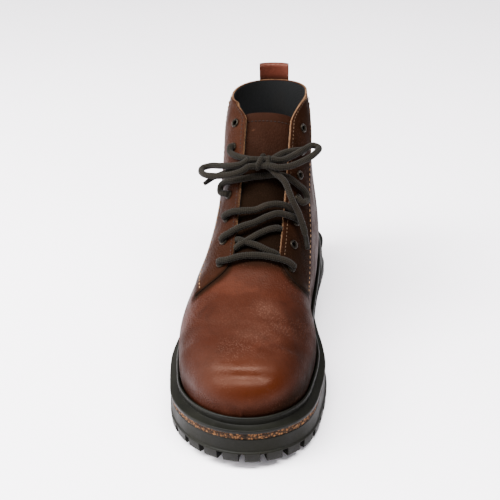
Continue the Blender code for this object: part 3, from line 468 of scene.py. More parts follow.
def edge_curve(rows, share):
    """Points along a table of an edge, near the form."""
    steps = np.linspace(0.0, 1.0, len(rows["side"]))
    half = smooth({"along": steps, "v": rows["side"]}, "v", share) * SHAFT_WIDTH / 2
    y = (smooth({"along": steps, "v": rows["along"]}, "v", share) - 0.5) * SOLE_LENGTH
    z = smooth({"along": steps, "v": rows["height"]}, "v", share) * COLLAR_HEIGHT
    return half, y, z


def from_spine(point):
    """A point near the form, carried onto it along a ray from the shaft's inner axis."""
    foot, top = np.array(SPINE_FOOT), np.array(SPINE_TOP)
    run = top - foot
    share = np.clip(((point - foot) @ run) / (run @ run), 0.0, 1.0)
    start = foot + run * share[..., None]
    return cast(start, point - start)


def eyestay_edge(side, rows, share):
    """Points on the form along one of the eyestay's outer edges."""
    half, y, z = edge_curve(rows, share)
    return from_spine(np.stack([THROAT_CENTRE + side * half, y, z], -1))


def eyestay_points(side, back, up):
    """Points of the eyestay on the form: back runs from the throat (0) to its rear edge (1), up
    from its front edge (0) to the collar (1). It is a surface stretched between four edges.
    """
    back, up = np.broadcast_arrays(np.asarray(back, float), np.asarray(up, float))
    one = np.ones(1)
    shares = np.linspace(0.0, 1.0, 41)
    rear_top = eyestay_edge(side, REAR_EDGE[side], one)
    collar_line = collar_point(side, shares)
    stop = shares[np.argmin(np.linalg.norm(collar_line - rear_top, axis=-1))]
    collar_end = collar_point(side, one * stop)
    throat_foot = facing_point(side, 0 * one)
    rear_foot = eyestay_edge(side, REAR_EDGE[side], 0 * one)
    front_start = eyestay_edge(side, FRONT_EDGE[side], 0 * one)
    collar_start = collar_point(side, 0 * one)
    rear = eyestay_edge(side, REAR_EDGE[side], up)
    rear = rear + (collar_end - rear_top) * np.clip(1 - (1 - up) * TOP_FADE, 0.0, 1.0)[..., None]
    front = eyestay_edge(side, FRONT_EDGE[side], back)
    fade = np.clip(1 - back * FRONT_FADE, 0.0, 1.0)[..., None]
    front = front + (throat_foot - front_start) * fade
    a, b = up[..., None], back[..., None]
    across = facing_point(side, up) * (1 - b) + rear * b
    upward = front * (1 - a) + collar_point(side, back * stop) * a
    low_corners = throat_foot * (1 - b) + rear_foot * b
    high_corners = collar_start * (1 - b) + collar_end * b
    return from_spine(across + upward - (low_corners * (1 - a) + high_corners * a))


def curve_through(points, step):
    """Evenly parted points along a smooth curve through the given ones."""
    points = np.asarray(points)
    run = np.linalg.norm(np.diff(points, axis=0), axis=1)
    run = np.concatenate([[0.0], np.cumsum(run)])
    at = np.linspace(0.0, run[-1], int(round(run[-1] / step)) + 1)
    columns = {"along": run, "x": points[:, 0], "y": points[:, 1], "z": points[:, 2]}
    return np.stack([smooth(columns, axis, at) for axis in "xyz"], -1)


def travelled(path):
    """Length run at each point of a path."""
    return np.concatenate([[0.0], np.cumsum(np.linalg.norm(np.diff(path, axis=0), axis=1))])


# Meshes.

MERGE_DISTANCE = 1e-7


def grid_quads(rows, columns, closed, start=0):
    """Quads of a grid of points, rows by columns, whose columns may go round."""
    r = np.arange(rows - 1)[:, None] * columns
    c = np.arange(columns if closed else columns - 1)[None, :]
    d = (c + 1) % columns
    quads = np.stack(np.broadcast_arrays(r + c, r + d, r + columns + d, r + columns + c), -1)
    return quads.reshape(-1, 4) + start


def link(mesh):
    """Object at the origin that shows a mesh."""
    obj = bpy.data.objects.new(mesh.name, mesh)
    bpy.context.scene.collection.objects.link(obj)
    return obj


def turn_outwards(mesh, merge=0.0):
    """Turns the faces of a closed mesh outwards, its double points merged first."""
    shape = bmesh.new()
    shape.from_mesh(mesh)
    if merge:
        bmesh.ops.remove_doubles(shape, verts=shape.verts, dist=merge)
    bmesh.ops.recalc_face_normals(shape, faces=shape.faces)
    shape.to_mesh(mesh)
    shape.free()


def build(name, points, parts, materials, crease_angle=40.0):
    """Closed piece from points and (faces, material number) pairs, its faces turned outwards."""
    mesh = bpy.data.meshes.new(name)
    faces = []
    for group, _ in parts:
        faces += group if isinstance(group, list) else group.tolist()
    mesh.from_pydata(np.asarray(points).tolist(), [], faces)
    numbers = np.concatenate([np.full(len(group), number) for group, number in parts])
    mesh.polygons.foreach_set("material_index", numbers.astype(np.int32))
    turn_outwards(mesh, MERGE_DISTANCE)
    for entry in materials:
        mesh.materials.append(entry)
    mesh.shade_smooth()
    mesh.set_sharp_from_angle(angle=math.radians(crease_angle))
    return link(mesh)


def shell(name, outer, inner, closed, materials, rim=1):
    """Closed piece between two grids, with a material number for its rim."""
    rows, columns = outer.shape[:2]
    size = rows * columns
    c = np.arange(columns if closed else columns - 1)
    rims = []
    for start in (0, (rows - 1) * columns):
        a, b = start + c, start + (c + 1) % columns
        rims.append(np.stack([a, b, size + b, size + a], -1))
    if not closed:
        r = np.arange(rows - 1) * columns
        for start in (0, columns - 1):
            a, b = r + start, r + start + columns
            rims.append(np.stack([a, b, size + b, size + a], -1))
    face = grid_quads(rows, columns, closed)
    parts = [(face, 0), (face[:, ::-1] + size, 0), (np.concatenate(rims), rim)]
    points = np.concatenate([outer.reshape(-1, 3), inner.reshape(-1, 3)])
    return build(name, points, parts, materials)


def stack(name, rings, material, crease_angle=40.0):
    """Closed piece through loops of points, its two ends closed by rungs across the boot."""
    count = len(rings[0])
    half = count // 2
    i = np.arange(half)
    rungs = np.stack([i, i + 1, (count - i - 1) % count, (count - i) % count], -1)
    caps = []
    for base in (0, (len(rings) - 1) * count):
        caps += [tuple(dict.fromkeys(rung)) for rung in (rungs + base).tolist()]
    parts = [(grid_quads(len(rings), count, True), 0), (caps, 0)]
    return build(name, np.concatenate(rings), parts, [material], crease_angle)


def carry(path):
    """Two axes across a path at each point, carried along it without twist."""
    along = unit(np.gradient(path, axis=0))
    across = np.cross(along[0], (0.0, 0.3, 1.0))
    rows = []
    for tangent in along:
        across = across - tangent * (across @ tangent)
        across = across / np.linalg.norm(across)
        rows.append(across)
    first = np.array(rows)
    return first, np.cross(along, first)


def tube_rings(path, radius, sides):
    """Round sections along a path: its point plus radius by the cosine and sine of the turn."""
    across, up = carry(path)
    turn = np.arange(sides) * 2 * np.pi / sides
    radius = np.broadcast_to(radius, len(path))[:, None, None]
    around = (np.cos(turn)[None, :, None] * across[:, None]
              + np.sin(turn)[None, :, None] * up[:, None])
    return path[:, None] + radius * around


def tubes(name, runs, materials, sides=20):
    """One piece of several capped tubes, each a path and its radius, mapped by length and turn."""
    points, faces, mapped, start = [], [], [], 0
    for path, radius in runs:
        rings = tube_rings(path, radius, sides)
        run = travelled(path)
        rows = len(path)
        points.append(rings.reshape(-1, 3))
        faces += grid_quads(rows, sides, True, start).tolist()
        r, c = np.meshgrid(np.arange(rows - 1), np.arange(sides), indexing="ij")
        u = np.stack([run[r], run[r], run[r + 1], run[r + 1]], -1)
        v = np.stack([c, c + 1, c + 1, c], -1) / sides
        mapped.append(np.stack([u, v], -1).reshape(-1, 2))
        faces.append(list(range(start + sides - 1, start - 1, -1)))
        faces.append(list(range(start + (rows - 1) * sides, start + rows * sides)))
        mapped.append(np.column_stack([np.zeros(sides), np.arange(sides) / sides]))
        mapped.append(np.column_stack([np.full(sides, run[-1]), np.arange(sides) / sides]))
        start += rows * sides
    mesh = bpy.data.meshes.new(name)
    mesh.from_pydata(np.concatenate(points).tolist(), [], faces)
    layer = mesh.uv_layers.new(name="lace")
    layer.data.foreach_set("uv", np.concatenate(mapped).astype(np.float32).ravel())
    for entry in materials:
        mesh.materials.append(entry)
    mesh.shade_smooth()
    return link(mesh)


def mark(obj, name, values):
    """Number at each point of a piece, which its material reads."""
    layer = obj.data.attributes.new(name, "FLOAT", "POINT")
    layer.data.foreach_set("value", np.asarray(values, np.float32).ravel())


def places(obj):
    """Points of a piece's mesh as an array."""
    points = np.empty(len(obj.data.vertices) * 3, np.float32)
    obj.data.vertices.foreach_get("co", points)
    return points.reshape(-1, 3).astype(float)


def cut(obj, lofts, name):
    """Takes closed lofts of loops out of a piece, and leaves the cut mesh in it."""
    points, faces = [], []
    for rings in lofts:
        rings = np.asarray(rings)
        start, count = len(points), rings.shape[1]
        faces += grid_quads(len(rings), count, True, start).tolist()
        faces.append(list(range(start, start + count)))
        faces.append(list(range(start + (len(rings) - 1) * count, start + len(rings) * count)))
        points += rings.reshape(-1, 3).tolist()
    mesh = bpy.data.meshes.new(name)
    mesh.from_pydata(points, [], faces)
    turn_outwards(mesh)
    cutter = link(mesh)
    step = obj.modifiers.new(name, "BOOLEAN")
    step.operation = "DIFFERENCE"
    step.solver = "EXACT"
    step.object = cutter
    graph = bpy.context.evaluated_depsgraph_get()
    result = bpy.data.meshes.new_from_object(obj.evaluated_get(graph))
    obj.modifiers.clear()
    obj.data = result
    bpy.data.objects.remove(cutter)


def settle(obj, slot, *nodes):
    """The piece moves with the boot and stands for CAD nodes, which it hides; the slot is not used.
    """
    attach(obj, "root")
    if nodes:
        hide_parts(*nodes)
    return obj


# Materials.

def node(tree, kind, inputs=(), **settings):
    """Node with its settings, and its inputs set to values or joined to sockets."""
    made = tree.nodes.new(kind)
    for key, value in settings.items():
        setattr(made, key, value)
    for key, value in dict(inputs).items():
        if isinstance(value, bpy.types.NodeSocket):
            tree.links.new(value, made.inputs[key])
        else:
            made.inputs[key].default_value = value
    return made


def start_material(name, **sockets):
    """Material with its node tree and its shader, whose sockets are set to values."""
    made = bpy.data.materials.new(name)
    made.use_nodes = True
    shader = made.node_tree.nodes["Principled BSDF"]
    for key, value in sockets.items():
        shader.inputs[key.replace("_", " ")].default_value = value
    return made, made.node_tree, shader


def feed(tree, shader, **sockets):
    """Joins results of other nodes to the shader's sockets."""
    for key, socket in sockets.items():
        tree.links.new(socket, shader.inputs[key.replace("_", " ")])


def object_place(tree, scale=(1, 1, 1)):
    """Object coordinates, stretched."""
    where = node(tree, "ShaderNodeTexCoord").outputs["Object"]
    if scale == (1, 1, 1):
        return where
    return node(tree, "ShaderNodeMapping", {"Vector": where, "Scale": scale}).outputs["Vector"]


def noise(tree, where, scale, detail=3.0, roughness=0.55, distortion=0.0):
    """Noise value."""
    return node(tree, "ShaderNodeTexNoise", {
        "Vector": where, "Scale": scale, "Detail": detail, "Roughness": roughness,
        "Distortion": distortion}).outputs["Fac"]


def rescale(tree, value, low, high, to_low=0.0, to_high=1.0):
    """Value carried from one range to another, held at its ends."""
    return node(tree, "ShaderNodeMapRange", {
        "Value": value, "From Min": low, "From Max": high, "To Min": to_low, "To Max": to_high},
        interpolation_type="SMOOTHSTEP").outputs["Result"]


def maths(tree, operation, a, b=0.0):
    """Sum, product or other of two values."""
    return node(tree, "ShaderNodeMath", {0: a, 1: b}, operation=operation).outputs[0]


def tint(tree, amount, a, b):
    """Colour a where amount is 0, b where it is 1."""
    a = (*a, 1.0) if isinstance(a, tuple) else a
    b = (*b, 1.0) if isinstance(b, tuple) else b
    return node(tree, "ShaderNodeMix", {0: amount, 6: a, 7: b}, data_type="RGBA").outputs[2]


def raise_grain(tree, height, distance, strength=1.0, under=None):
    """Bump of a height in metres."""
    inputs = {"Height": height, "Distance": distance, "Strength": strength}
    if under is not None:
        inputs["Normal"] = under
    return node(tree, "ShaderNodeBump", inputs).outputs["Normal"]


def read_mark(tree, name):
    """Number that a piece carries at each point."""
    return node(tree, "ShaderNodeAttribute", attribute_name=name).outputs["Fac"]


# Colours of the leather's marks: painted highlight, painted shade, pale pebbles (their own tone, and
# painted highlight in patches) and scuffs; and the tint of its gloss.
# Painted highlight: redder and lighter where light falls on the toe, the tongue's top and the
# lateral eyestay's top.
PAINTED_HIGHLIGHT_COLOUR = (0.0230, 0.0043, 0.0009)
# Painted shade: near black in recesses, creases, low by the welt and on the shaded medial side.
PAINTED_SHADE_COLOUR = (0.0034, 0.0019, 0.0011)
# Pale pebbles: the grain's own tone, and a painted highlight in the marked patches.
PALE_PEBBLE_AND_HIGHLIGHT_COLOUR = (0.064, 0.0310, 0.0215)
SCUFF_COLOUR = (0.042, 0.0165, 0.0082)
GLOSS_TINT = (1.0, 0.68, 0.54, 1.0)


def leather(name, deep, middle, light, roughness=(0.36, 0.56), gloss_level=0.045, speckle=0.32):
    """Oiled leather: clouded colour, small pores, pebbled patches, fine scuffs and a soft gloss.

    Its pieces carry three marks: a polish mark with a painted highlight, where it is smoother,
    shinier, and redder and lighter; "dark", a painted shade, where it is darker and duller; and a
    mark of painted highlight on the grain, where its pebbles are pale.
    """
    made, tree, shader = start_material(name, Specular_IOR_Level=gloss_level,
                                        Specular_Tint=GLOSS_TINT)
    where = object_place(tree)
    polish_and_painted_highlight, dark, wear_and_painted_highlight = (read_mark(tree, mark_name) for mark_name in ("polish_and_painted_highlight", "dark", "wear_and_painted_highlight"))
    cloud = noise(tree, where, 24.0, 5.0, 0.6, 0.4)
    colour = tint(tree, rescale(tree, cloud, 0.30, 0.50), deep, middle)
    colour = tint(tree, rescale(tree, cloud, 0.52, 0.70), colour, light)
    fine = noise(tree, where, 260.0, 4.0, 0.65)
    colour = tint(tree, rescale(tree, fine, 0.45, 0.80, 0.0, 0.45), colour, deep)
    # Painted highlight: redder and lighter where the polish mark is high.
    colour = tint(tree, rescale(tree, polish_and_painted_highlight, 0.0, 1.0, 0.0, 0.75), colour, PAINTED_HIGHLIGHT_COLOUR)
    # Painted shade: darker where "dark" is high.
    colour = tint(tree, rescale(tree, dark, 0.0, 1.0, 0.0, 0.90), colour, PAINTED_SHADE_COLOUR)
    pebbles = node(tree, "ShaderNodeTexVoronoi", {
        "Vector": where, "Scale": 760.0}).outputs["Distance"]
    patch = rescale(tree, noise(tree, where, 30.0, 2.0), 0.44, 0.60)
    pale = maths(tree, "MULTIPLY", rescale(tree, pebbles, 0.45, 0.05), patch)
    # Painted highlight: pale pebbles in the marked patches, where light catches the grain.
    painted_pebble_highlight = maths(tree, "MULTIPLY", wear_and_painted_highlight, rescale(tree, pebbles, 0.50, 0.05, 0.22, 0.85))
    pale = maths(tree, "ADD", maths(tree, "MULTIPLY", pale, speckle), painted_pebble_highlight)
    colour = tint(tree, pale, colour, PALE_PEBBLE_AND_HIGHLIGHT_COLOUR)
    scuff = noise(tree, object_place(tree, (1.0, 5.0, 2.0)), 210.0, 2.0, 0.4, 1.2)
    colour = tint(tree, rescale(tree, scuff, 0.70, 0.80, 0.0, 0.30), colour, SCUFF_COLOUR)
    gloss = noise(tree, where, 55.0, 4.0)
    rough = maths(tree, "ADD", rescale(tree, gloss, 0.3, 0.7, *roughness),
                  maths(tree, "MULTIPLY", patch, 0.05))
    rough = maths(tree, "ADD", rough, maths(tree, "MULTIPLY", dark, 0.22))
    rough = maths(tree, "SUBTRACT", rough, maths(tree, "MULTIPLY", polish_and_painted_highlight, 0.14))
    polish = maths(tree, "ADD", maths(tree, "MULTIPLY", polish_and_painted_highlight, 0.030),
                   rescale(tree, dark, 0.0, 0.6, gloss_level, 0.2 * gloss_level))
    soft = raise_grain(tree, noise(tree, where, 95.0, 3.0), 0.00060, 0.45)
    amount = maths(tree, "ADD", maths(tree, "MULTIPLY", patch, 0.75), 0.25)
    amount = maths(tree, "MULTIPLY", amount, rescale(tree, polish_and_painted_highlight, 0.0, 0.7, 1.0, 0.15))
    bumped = raise_grain(tree, maths(tree, "MULTIPLY", pebbles, amount), 0.00055, 0.75, soft)
    pores = raise_grain(tree, noise(tree, where, 1500.0, 2.0), 0.00010, 0.6, bumped)
    feed(tree, shader, Base_Color=colour, Roughness=rough, Specular_IOR_Level=polish, Normal=pores)
    return made


def raw_edge():
    """Cut edge of leather: fibrous tan with darker streaks, near black where "dark" paints shade."""
    made, tree, shader = start_material("raw_leather_edge", Roughness=0.8, Specular_IOR_Level=0.1)
    where = object_place(tree)
    fibre = noise(tree, where, 900.0, 4.0, 0.7)
    blot = noise(tree, where, 110.0, 3.0)
    colour = tint(tree, rescale(tree, fibre, 0.35, 0.65), (0.036, 0.0168, 0.0072),
                  (0.105, 0.054, 0.026))
    colour = tint(tree, rescale(tree, blot, 0.45, 0.70, 0.0, 0.7), colour, (0.018, 0.007, 0.003))
    # Painted shade: near black where "dark" is high, as along the shadow line under an eyestay's
    # lower edge.
    colour = tint(tree, rescale(tree, read_mark(tree, "dark"), 0.35, 0.75), colour,
                  (0.004, 0.002, 0.001))
    feed(tree, shader, Base_Color=colour, Normal=raise_grain(tree, fibre, 0.0003, 0.8))
    return made


def lining_cloth():
    """Black lining: a fine twill with a little lint."""
    made, tree, shader = start_material("black_lining", Roughness=0.9, Specular_IOR_Level=0.06)
    where = object_place(tree)
    twill = node(tree, "ShaderNodeTexWave", {
        "Vector": where, "Scale": 420.0, "Distortion": 0.6, "Detail": 1.0},
        bands_direction="DIAGONAL").outputs["Fac"]
    lint = noise(tree, where, 1100.0, 3.0, 0.7)
    blot = noise(tree, where, 45.0, 3.0)
    colour = tint(tree, rescale(tree, twill, 0.2, 0.8), (0.0032, 0.0033, 0.0034),
                  (0.0063, 0.0065, 0.0067))
    colour = tint(tree, rescale(tree, lint, 0.66, 0.80, 0.0, 0.3), colour, (0.020, 0.020, 0.020))
    colour = tint(tree, rescale(tree, blot, 0.45, 0.7, 0.0, 0.4), colour, (0.0060, 0.0055, 0.0050))
    feed(tree, shader, Base_Color=colour, Normal=raise_grain(tree, twill, 0.0002, 0.7))
    return made


def rubber(name, deep, light, roughness=(0.5, 0.68)):
    """Moulded rubber: near black, dusty in places and lighter down its lateral side, with a matt
    skin.
    """
    made, tree, shader = start_material(name, Roughness=0.6, Specular_IOR_Level=0.075)
    where = object_place(tree)
    cloud = noise(tree, where, 38.0, 5.0, 0.62, 0.3)
    dust = noise(tree, where, 420.0, 3.0, 0.7)
    colour = tint(tree, rescale(tree, cloud, 0.38, 0.66), deep, light)
    colour = tint(tree, rescale(tree, dust, 0.60, 0.82, 0.0, 0.4), colour, (0.0095, 0.0088, 0.0060))
    # Lighter towards the lateral side, below x of -0.04.
    across = node(tree, "ShaderNodeSeparateXYZ", {0: where}).outputs["X"]
    colour = tint(tree, rescale(tree, across, -0.040, -0.058, 0.0, 0.40), colour,
                  (0.0110, 0.0098, 0.0082))
    skin = raise_grain(tree, noise(tree, where, 130.0, 3.0), 0.0004, 0.35)
    feed(tree, shader, Base_Color=colour, Roughness=rescale(tree, cloud, 0.3, 0.7, *roughness),
         Normal=raise_grain(tree, dust, 0.00012, 0.6, skin))
    return made


def cork_board():
    """Cork: tan granules of several browns with dark gaps and pale chips."""
    made, tree, shader = start_material("cork", Roughness=0.88, Specular_IOR_Level=0.1)
    where = object_place(tree)
    grains = node(tree, "ShaderNodeTexVoronoi", {"Vector": where, "Scale": 620.0})
    shade = node(tree, "ShaderNodeSeparateColor", {0: grains.outputs["Color"]}).outputs[0]
    distance = grains.outputs["Distance"]
    blot = noise(tree, where, 130.0, 4.0, 0.7)
    colour = tint(tree, rescale(tree, shade, 0.15, 0.85), (0.018, 0.0072, 0.0027),
                  (0.105, 0.047, 0.0175))
    colour = tint(tree, rescale(tree, distance, 0.42, 0.62, 0.0, 0.85), colour,
                  (0.0045, 0.0033, 0.0020))
    colour = tint(tree, rescale(tree, blot, 0.54, 0.70, 0.0, 0.85), colour, (0.0050, 0.0042, 0.0028))
    feed(tree, shader, Base_Color=colour, Normal=raise_grain(tree, distance, 0.0006, 0.9))
    return made


def old_brass():
    """Aged brass: dulled metal with dark tarnish."""
    made, tree, shader = start_material("aged_brass", Roughness=0.4, Metallic=1.0)
    where = object_place(tree)
    tarnish = noise(tree, where, 520.0, 4.0, 0.65)
    colour = tint(tree, rescale(tree, tarnish, 0.38, 0.66), (0.018, 0.015, 0.011),
                  (0.0052, 0.0043, 0.0033))
    feed(tree, shader, Base_Color=colour, Roughness=rescale(tree, tarnish, 0.35, 0.7, 0.42, 0.68))
    return made


# The braid: radians of its pattern a metre along the lace, and its strands a turn.
BRAID_TURNS_ALONG = 2200.0
BRAID_STRANDS = 6


def woven_lace():
    """Round braided lace: two families of strands crossing on the tube's own map, with fuzz."""
    made, tree, shader = start_material("black_lace", Roughness=0.9, Specular_IOR_Level=0.07,
                                        Sheen_Weight=0.02, Sheen_Roughness=0.5)
    place = node(tree, "ShaderNodeUVMap", uv_map="lace").outputs["UV"]
    axes = node(tree, "ShaderNodeSeparateXYZ", {0: place})
    along = maths(tree, "MULTIPLY", axes.outputs["X"], BRAID_TURNS_ALONG)
    around = maths(tree, "MULTIPLY", axes.outputs["Y"], 2 * math.pi * BRAID_STRANDS)
    one = maths(tree, "SINE", maths(tree, "ADD", along, around))
    two = maths(tree, "SINE", maths(tree, "SUBTRACT", along, around))
    braid = maths(tree, "MULTIPLY", one, two)
    where = object_place(tree)
    fuzz = noise(tree, where, 1300.0, 3.0, 0.7)
    blot = noise(tree, where, 70.0, 3.0)
    colour = tint(tree, rescale(tree, braid, -0.8, 0.8), (0.0026, 0.0019, 0.0010),
                  (0.0052, 0.0039, 0.0021))
    colour = tint(tree, rescale(tree, blot, 0.45, 0.70, 0.0, 0.6), colour, (0.0072, 0.0050, 0.0030))
    colour = tint(tree, rescale(tree, fuzz, 0.62, 0.80, 0.0, 0.4), colour, (0.0095, 0.0070, 0.0045))
    bumped = raise_grain(tree, braid, 0.00030, 0.8)
    feed(tree, shader, Base_Color=colour, Normal=raise_grain(tree, fuzz, 0.00015, 0.6, bumped))
    return made


def waxed_thread(name, colour, wear_and_painted_highlight):
    """Waxed sewing thread with lengths of dirt and wear."""
    made, tree, shader = start_material(name, Roughness=0.6, Specular_IOR_Level=0.15)
    where = object_place(tree)
    dirt = noise(tree, where, 190.0, 3.0)
    twist = noise(tree, where, 2400.0, 2.0)
    mixed = tint(tree, rescale(tree, dirt, 0.42, 0.66), colour, wear_and_painted_highlight)
    feed(tree, shader, Base_Color=mixed, Normal=raise_grain(tree, twist, 0.0001, 0.7))
    return made


def lace_tip():
    """Dark plastic tip of the lace."""
    made, tree, shader = start_material("lace_tip", Roughness=0.5, Specular_IOR_Level=0.05)
    where = object_place(tree)
    scratch = noise(tree, where, 700.0, 3.0)
    colour = tint(tree, rescale(tree, scratch, 0.4, 0.7), (0.0022, 0.0018, 0.0013),
                  (0.0048, 0.0039, 0.0029))
    feed(tree, shader, Base_Color=colour, Normal=raise_grain(tree, scratch, 0.0001, 0.4))
    return made


def pale_floor():
    """Pale matt studio floor with a trace of unevenness."""
    made, tree, shader = start_material("pale_floor", Roughness=0.9, Specular_IOR_Level=0.1)
    where = object_place(tree)
    cloud = noise(tree, where, 2.0, 2.0)
    colour = tint(tree, rescale(tree, cloud, 0.3, 0.7), (0.850, 0.812, 0.850), (0.872, 0.838, 0.872))
    feed(tree, shader, Base_Color=colour)
    return made


LEATHER = leather("brown_leather", (0.0110, 0.0025, 0.0011), (0.0172, 0.0041, 0.0019),
                  (0.0250, 0.0066, 0.0033))
STAY_LEATHER = leather("eyestay_leather", (0.0052, 0.0015, 0.0006), (0.0084, 0.0025, 0.0010),
                       (0.0120, 0.0038, 0.0016), gloss_level=0.02, speckle=0.15)
TONGUE_LEATHER = leather("tongue_leather", (0.0034, 0.0012, 0.0006), (0.0058, 0.0021, 0.0011),
                         (0.0078, 0.0029, 0.0016), roughness=(0.52, 0.68), gloss_level=0.02,
                         speckle=0.05)
PULL_LEATHER = leather("pull_loop_leather", (0.0225, 0.0052, 0.0030), (0.0400, 0.0096, 0.0058),
                       (0.0600, 0.0165, 0.0105), roughness=(0.34, 0.50), gloss_level=0.12)
EDGE = raw_edge()
LINING_CLOTH = lining_cloth()
SOLE_RUBBER = rubber("black_rubber", (0.0018, 0.0018, 0.0009), (0.0031, 0.0030, 0.0016))
WELT_RUBBER = rubber("welt_rubber", (0.0014, 0.0014, 0.0007), (0.0025, 0.0025, 0.0013), (0.44, 0.60))
CORK = cork_board()
BRASS = old_brass()
LACE = woven_lace()
TAN_THREAD = waxed_thread("tan_thread", (0.135, 0.072, 0.032), (0.050, 0.025, 0.011))
WORN_THREAD = waxed_thread("worn_tan_thread", (0.046, 0.025, 0.0115), (0.014, 0.0068, 0.0032))
DARK_THREAD = waxed_thread("brown_thread", (0.0055, 0.0024, 0.0013), (0.0030, 0.0014, 0.0008))
TIP = lace_tip()
FLOOR = pale_floor()


# Camera, lights and floor.

def stand(data, right, up, back, place):
    """Object at a place, its own axes turned to right, up and back."""
    obj = bpy.data.objects.new(data.name, data)
    matrix = np.eye(4)
    matrix[:3, :] = np.stack([right, up, back, place], -1)
    obj.matrix_world = Matrix(matrix.tolist())
    bpy.context.scene.collection.objects.link(obj)
    return obj


def make_camera():
    """Camera at the photograph's place, turned sideways in its own plane to centre the boot."""
    flat, lift = math.cos(CAMERA_PITCH), math.sin(CAMERA_PITCH)
    ahead = np.array([-math.sin(CAMERA_YAW) * flat, math.cos(CAMERA_YAW) * flat, -lift])
    right = np.array([math.cos(CAMERA_YAW), math.sin(CAMERA_YAW), 0.0])
    up = np.cross(right, ahead)
    c, s = math.cos(CAMERA_ROLL), math.sin(CAMERA_ROLL)
    right, up = c * right + s * up, c * up - s * right
    c, s = math.cos(CAMERA_PAN), math.sin(CAMERA_PAN)
    ahead, right = c * ahead - s * right, c * right + s * ahead
    data = bpy.data.cameras.new("camera")
    data.lens = CAMERA_LENS
    data.sensor_width = SENSOR_WIDTH
    data.clip_start, data.clip_end = 0.01, 20.0
    bpy.context.scene.camera = stand(data, right, up, -ahead, CAMERA_PLACE)


def area_light(name, place, width, depth, power):
    """Soft light of a width and depth that looks at the boot."""
    data = bpy.data.lights.new(name, "AREA")
    data.shape = "RECTANGLE"
    data.energy, data.size, data.size_y = power, width, depth
    back = unit(np.array(place) - np.array(LIGHT_AIM))
    side = unit(np.cross((0.0, 1.0, 0.001), back))
    stand(data, side, np.cross(back, side), back, place)


def make_studio():
    """Pale floor, white surroundings and soft lights from above and from the lateral side."""
    west, east, south, north = FLOOR_EDGES
    rows = [(west, south, 0.0), (east, south, 0.0), (east, north, 0.0), (west, north, 0.0)]
    mesh = bpy.data.meshes.new("studio_floor")
    mesh.from_pydata(rows, [], [[0, 1, 2, 3]])
    mesh.materials.append(FLOOR)
    link(mesh)
    for light in LIGHTS:
        area_light(*light)
    world = bpy.data.worlds.new("studio")
    world.use_nodes = True
    back = world.node_tree.nodes["Background"]
    back.inputs["Color"].default_value = WORLD_COLOUR
    back.inputs["Strength"].default_value = WORLD_STRENGTH
    bpy.context.scene.world = world


# Lace. Where the boot holds it: side in shares of the eyelets' distance from the middle, row in
# eyelets up from the lowest, lift of its middle line off the form in lace diameters.
HELD_COLUMNS = ("side", "row", "lift")
LACE_BAR = [
    (-0.72, 0.02, 1.04), (-0.45, 0.15, 0.88), (0.09, 0.25, 0.64), (0.61, 0.17, 0.88),
    (0.85, 0.10, 1.04)]
LACE_CROSS_OVER = [
    (-0.80, 0.62, -0.62), (-0.68, 0.67, -0.40), (-0.55, 0.75, -0.02), (-0.35, 0.90, 0.04),
    (0.09, 1.28, 0.08), (0.37, 1.48, 0.06), (0.55, 1.56, -0.02), (0.68, 1.59, -0.40),
    (0.80, 1.62, -0.62)]
LACE_CROSS_UNDER = [
    (-0.80, 1.12, -0.66), (-0.68, 1.07, -0.42), (-0.57, 1.01, -0.06), (-0.35, 0.89, 0.00),
    (0.05, 0.73, 0.00), (0.35, 0.56, 0.00), (0.55, 0.49, -0.06), (0.68, 0.45, -0.42),
    (0.80, 0.42, -0.66)]
LACE_OVER_LOW = [
    (-0.73, 1.22, 1.04), (-0.46, 1.45, 0.82), (-0.11, 1.64, 0.62), (0.25, 1.93, 0.70),
    (0.49, 2.07, 0.90), (0.70, 2.06, 1.06)]
LACE_OVER_HIGH = [
    (-0.76, 2.11, 1.04), (-0.50, 2.13, 0.82), (-0.10, 2.18, 0.62), (0.17, 2.36, 0.70),
    (0.44, 2.45, 0.90), (0.71, 2.41, 1.06), (0.88, 2.26, 1.10)]
LACE_SLACK = [
    (-1.14, 3.14, 1.20), (-1.15, 3.40, 1.20), (-1.00, 3.48, 1.14), (-0.77, 3.46, 1.04),
    (-0.56, 3.49, 0.70), (-0.36, 3.59, 0.16), (-0.09, 3.64, 0.04), (0.17, 3.69, 0.12),
    (0.41, 3.68, 0.74), (0.63, 3.63, 1.04), (0.86, 3.46, 1.16), (1.06, 3.28, 1.22),
    (1.12, 3.04, 1.20), (1.02, 2.80, 1.14)]
LACE_LEAD_LATERAL = [(-0.97, 4.72, 1.10), (-0.80, 4.49, 1.12)]
LACE_LEAD_MEDIAL = [(0.78, 4.82, 1.10), (0.47, 4.57, 1.16)]

# The bow round the knot's middle, all in lace diameters: side to the medial side, climb up the
# lacing line, out away from the boot.
KNOT_CENTRE_SIDE = -0.0021
KNOT_DISTANCE = 0.0758
KNOT_LIFT = 0.0090
KNOT_LATERAL = (-1.68, 0.72, -0.60)
KNOT_MEDIAL = (1.68, 0.74, -0.58)
LOOP_LATERAL = [
    (-1.68, 0.26, 0.44), (-2.72, -0.36, 0.10), (-4.50, -0.45, -0.56), (-6.59, 0.12, -1.90),
    (-8.38, 0.62, -3.10), (-9.45, 0.42, -3.40), (-9.52, -0.57, -2.50), (-8.62, -1.67, -1.40),
    (-7.32, -2.12, -0.70), (-5.83, -2.34, -0.10), (-4.07, -2.30, 0.44), (-2.60, -1.84, 0.70),
    (-1.68, -1.04, 0.62)]
LOOP_MEDIAL = [
    (1.68, 0.28, 0.58), (3.07, 0.23, 0.30), (4.86, 1.57, -0.84), (6.60, 3.28, -2.00),
    (7.82, 4.37, -3.00), (8.59, 3.95, -2.80), (8.14, 2.33, -1.70), (6.28, 0.41, -0.50),
    (4.42, -0.83, 0.44), (2.89, -1.18, 0.76), (1.68, -0.84, 0.62)]
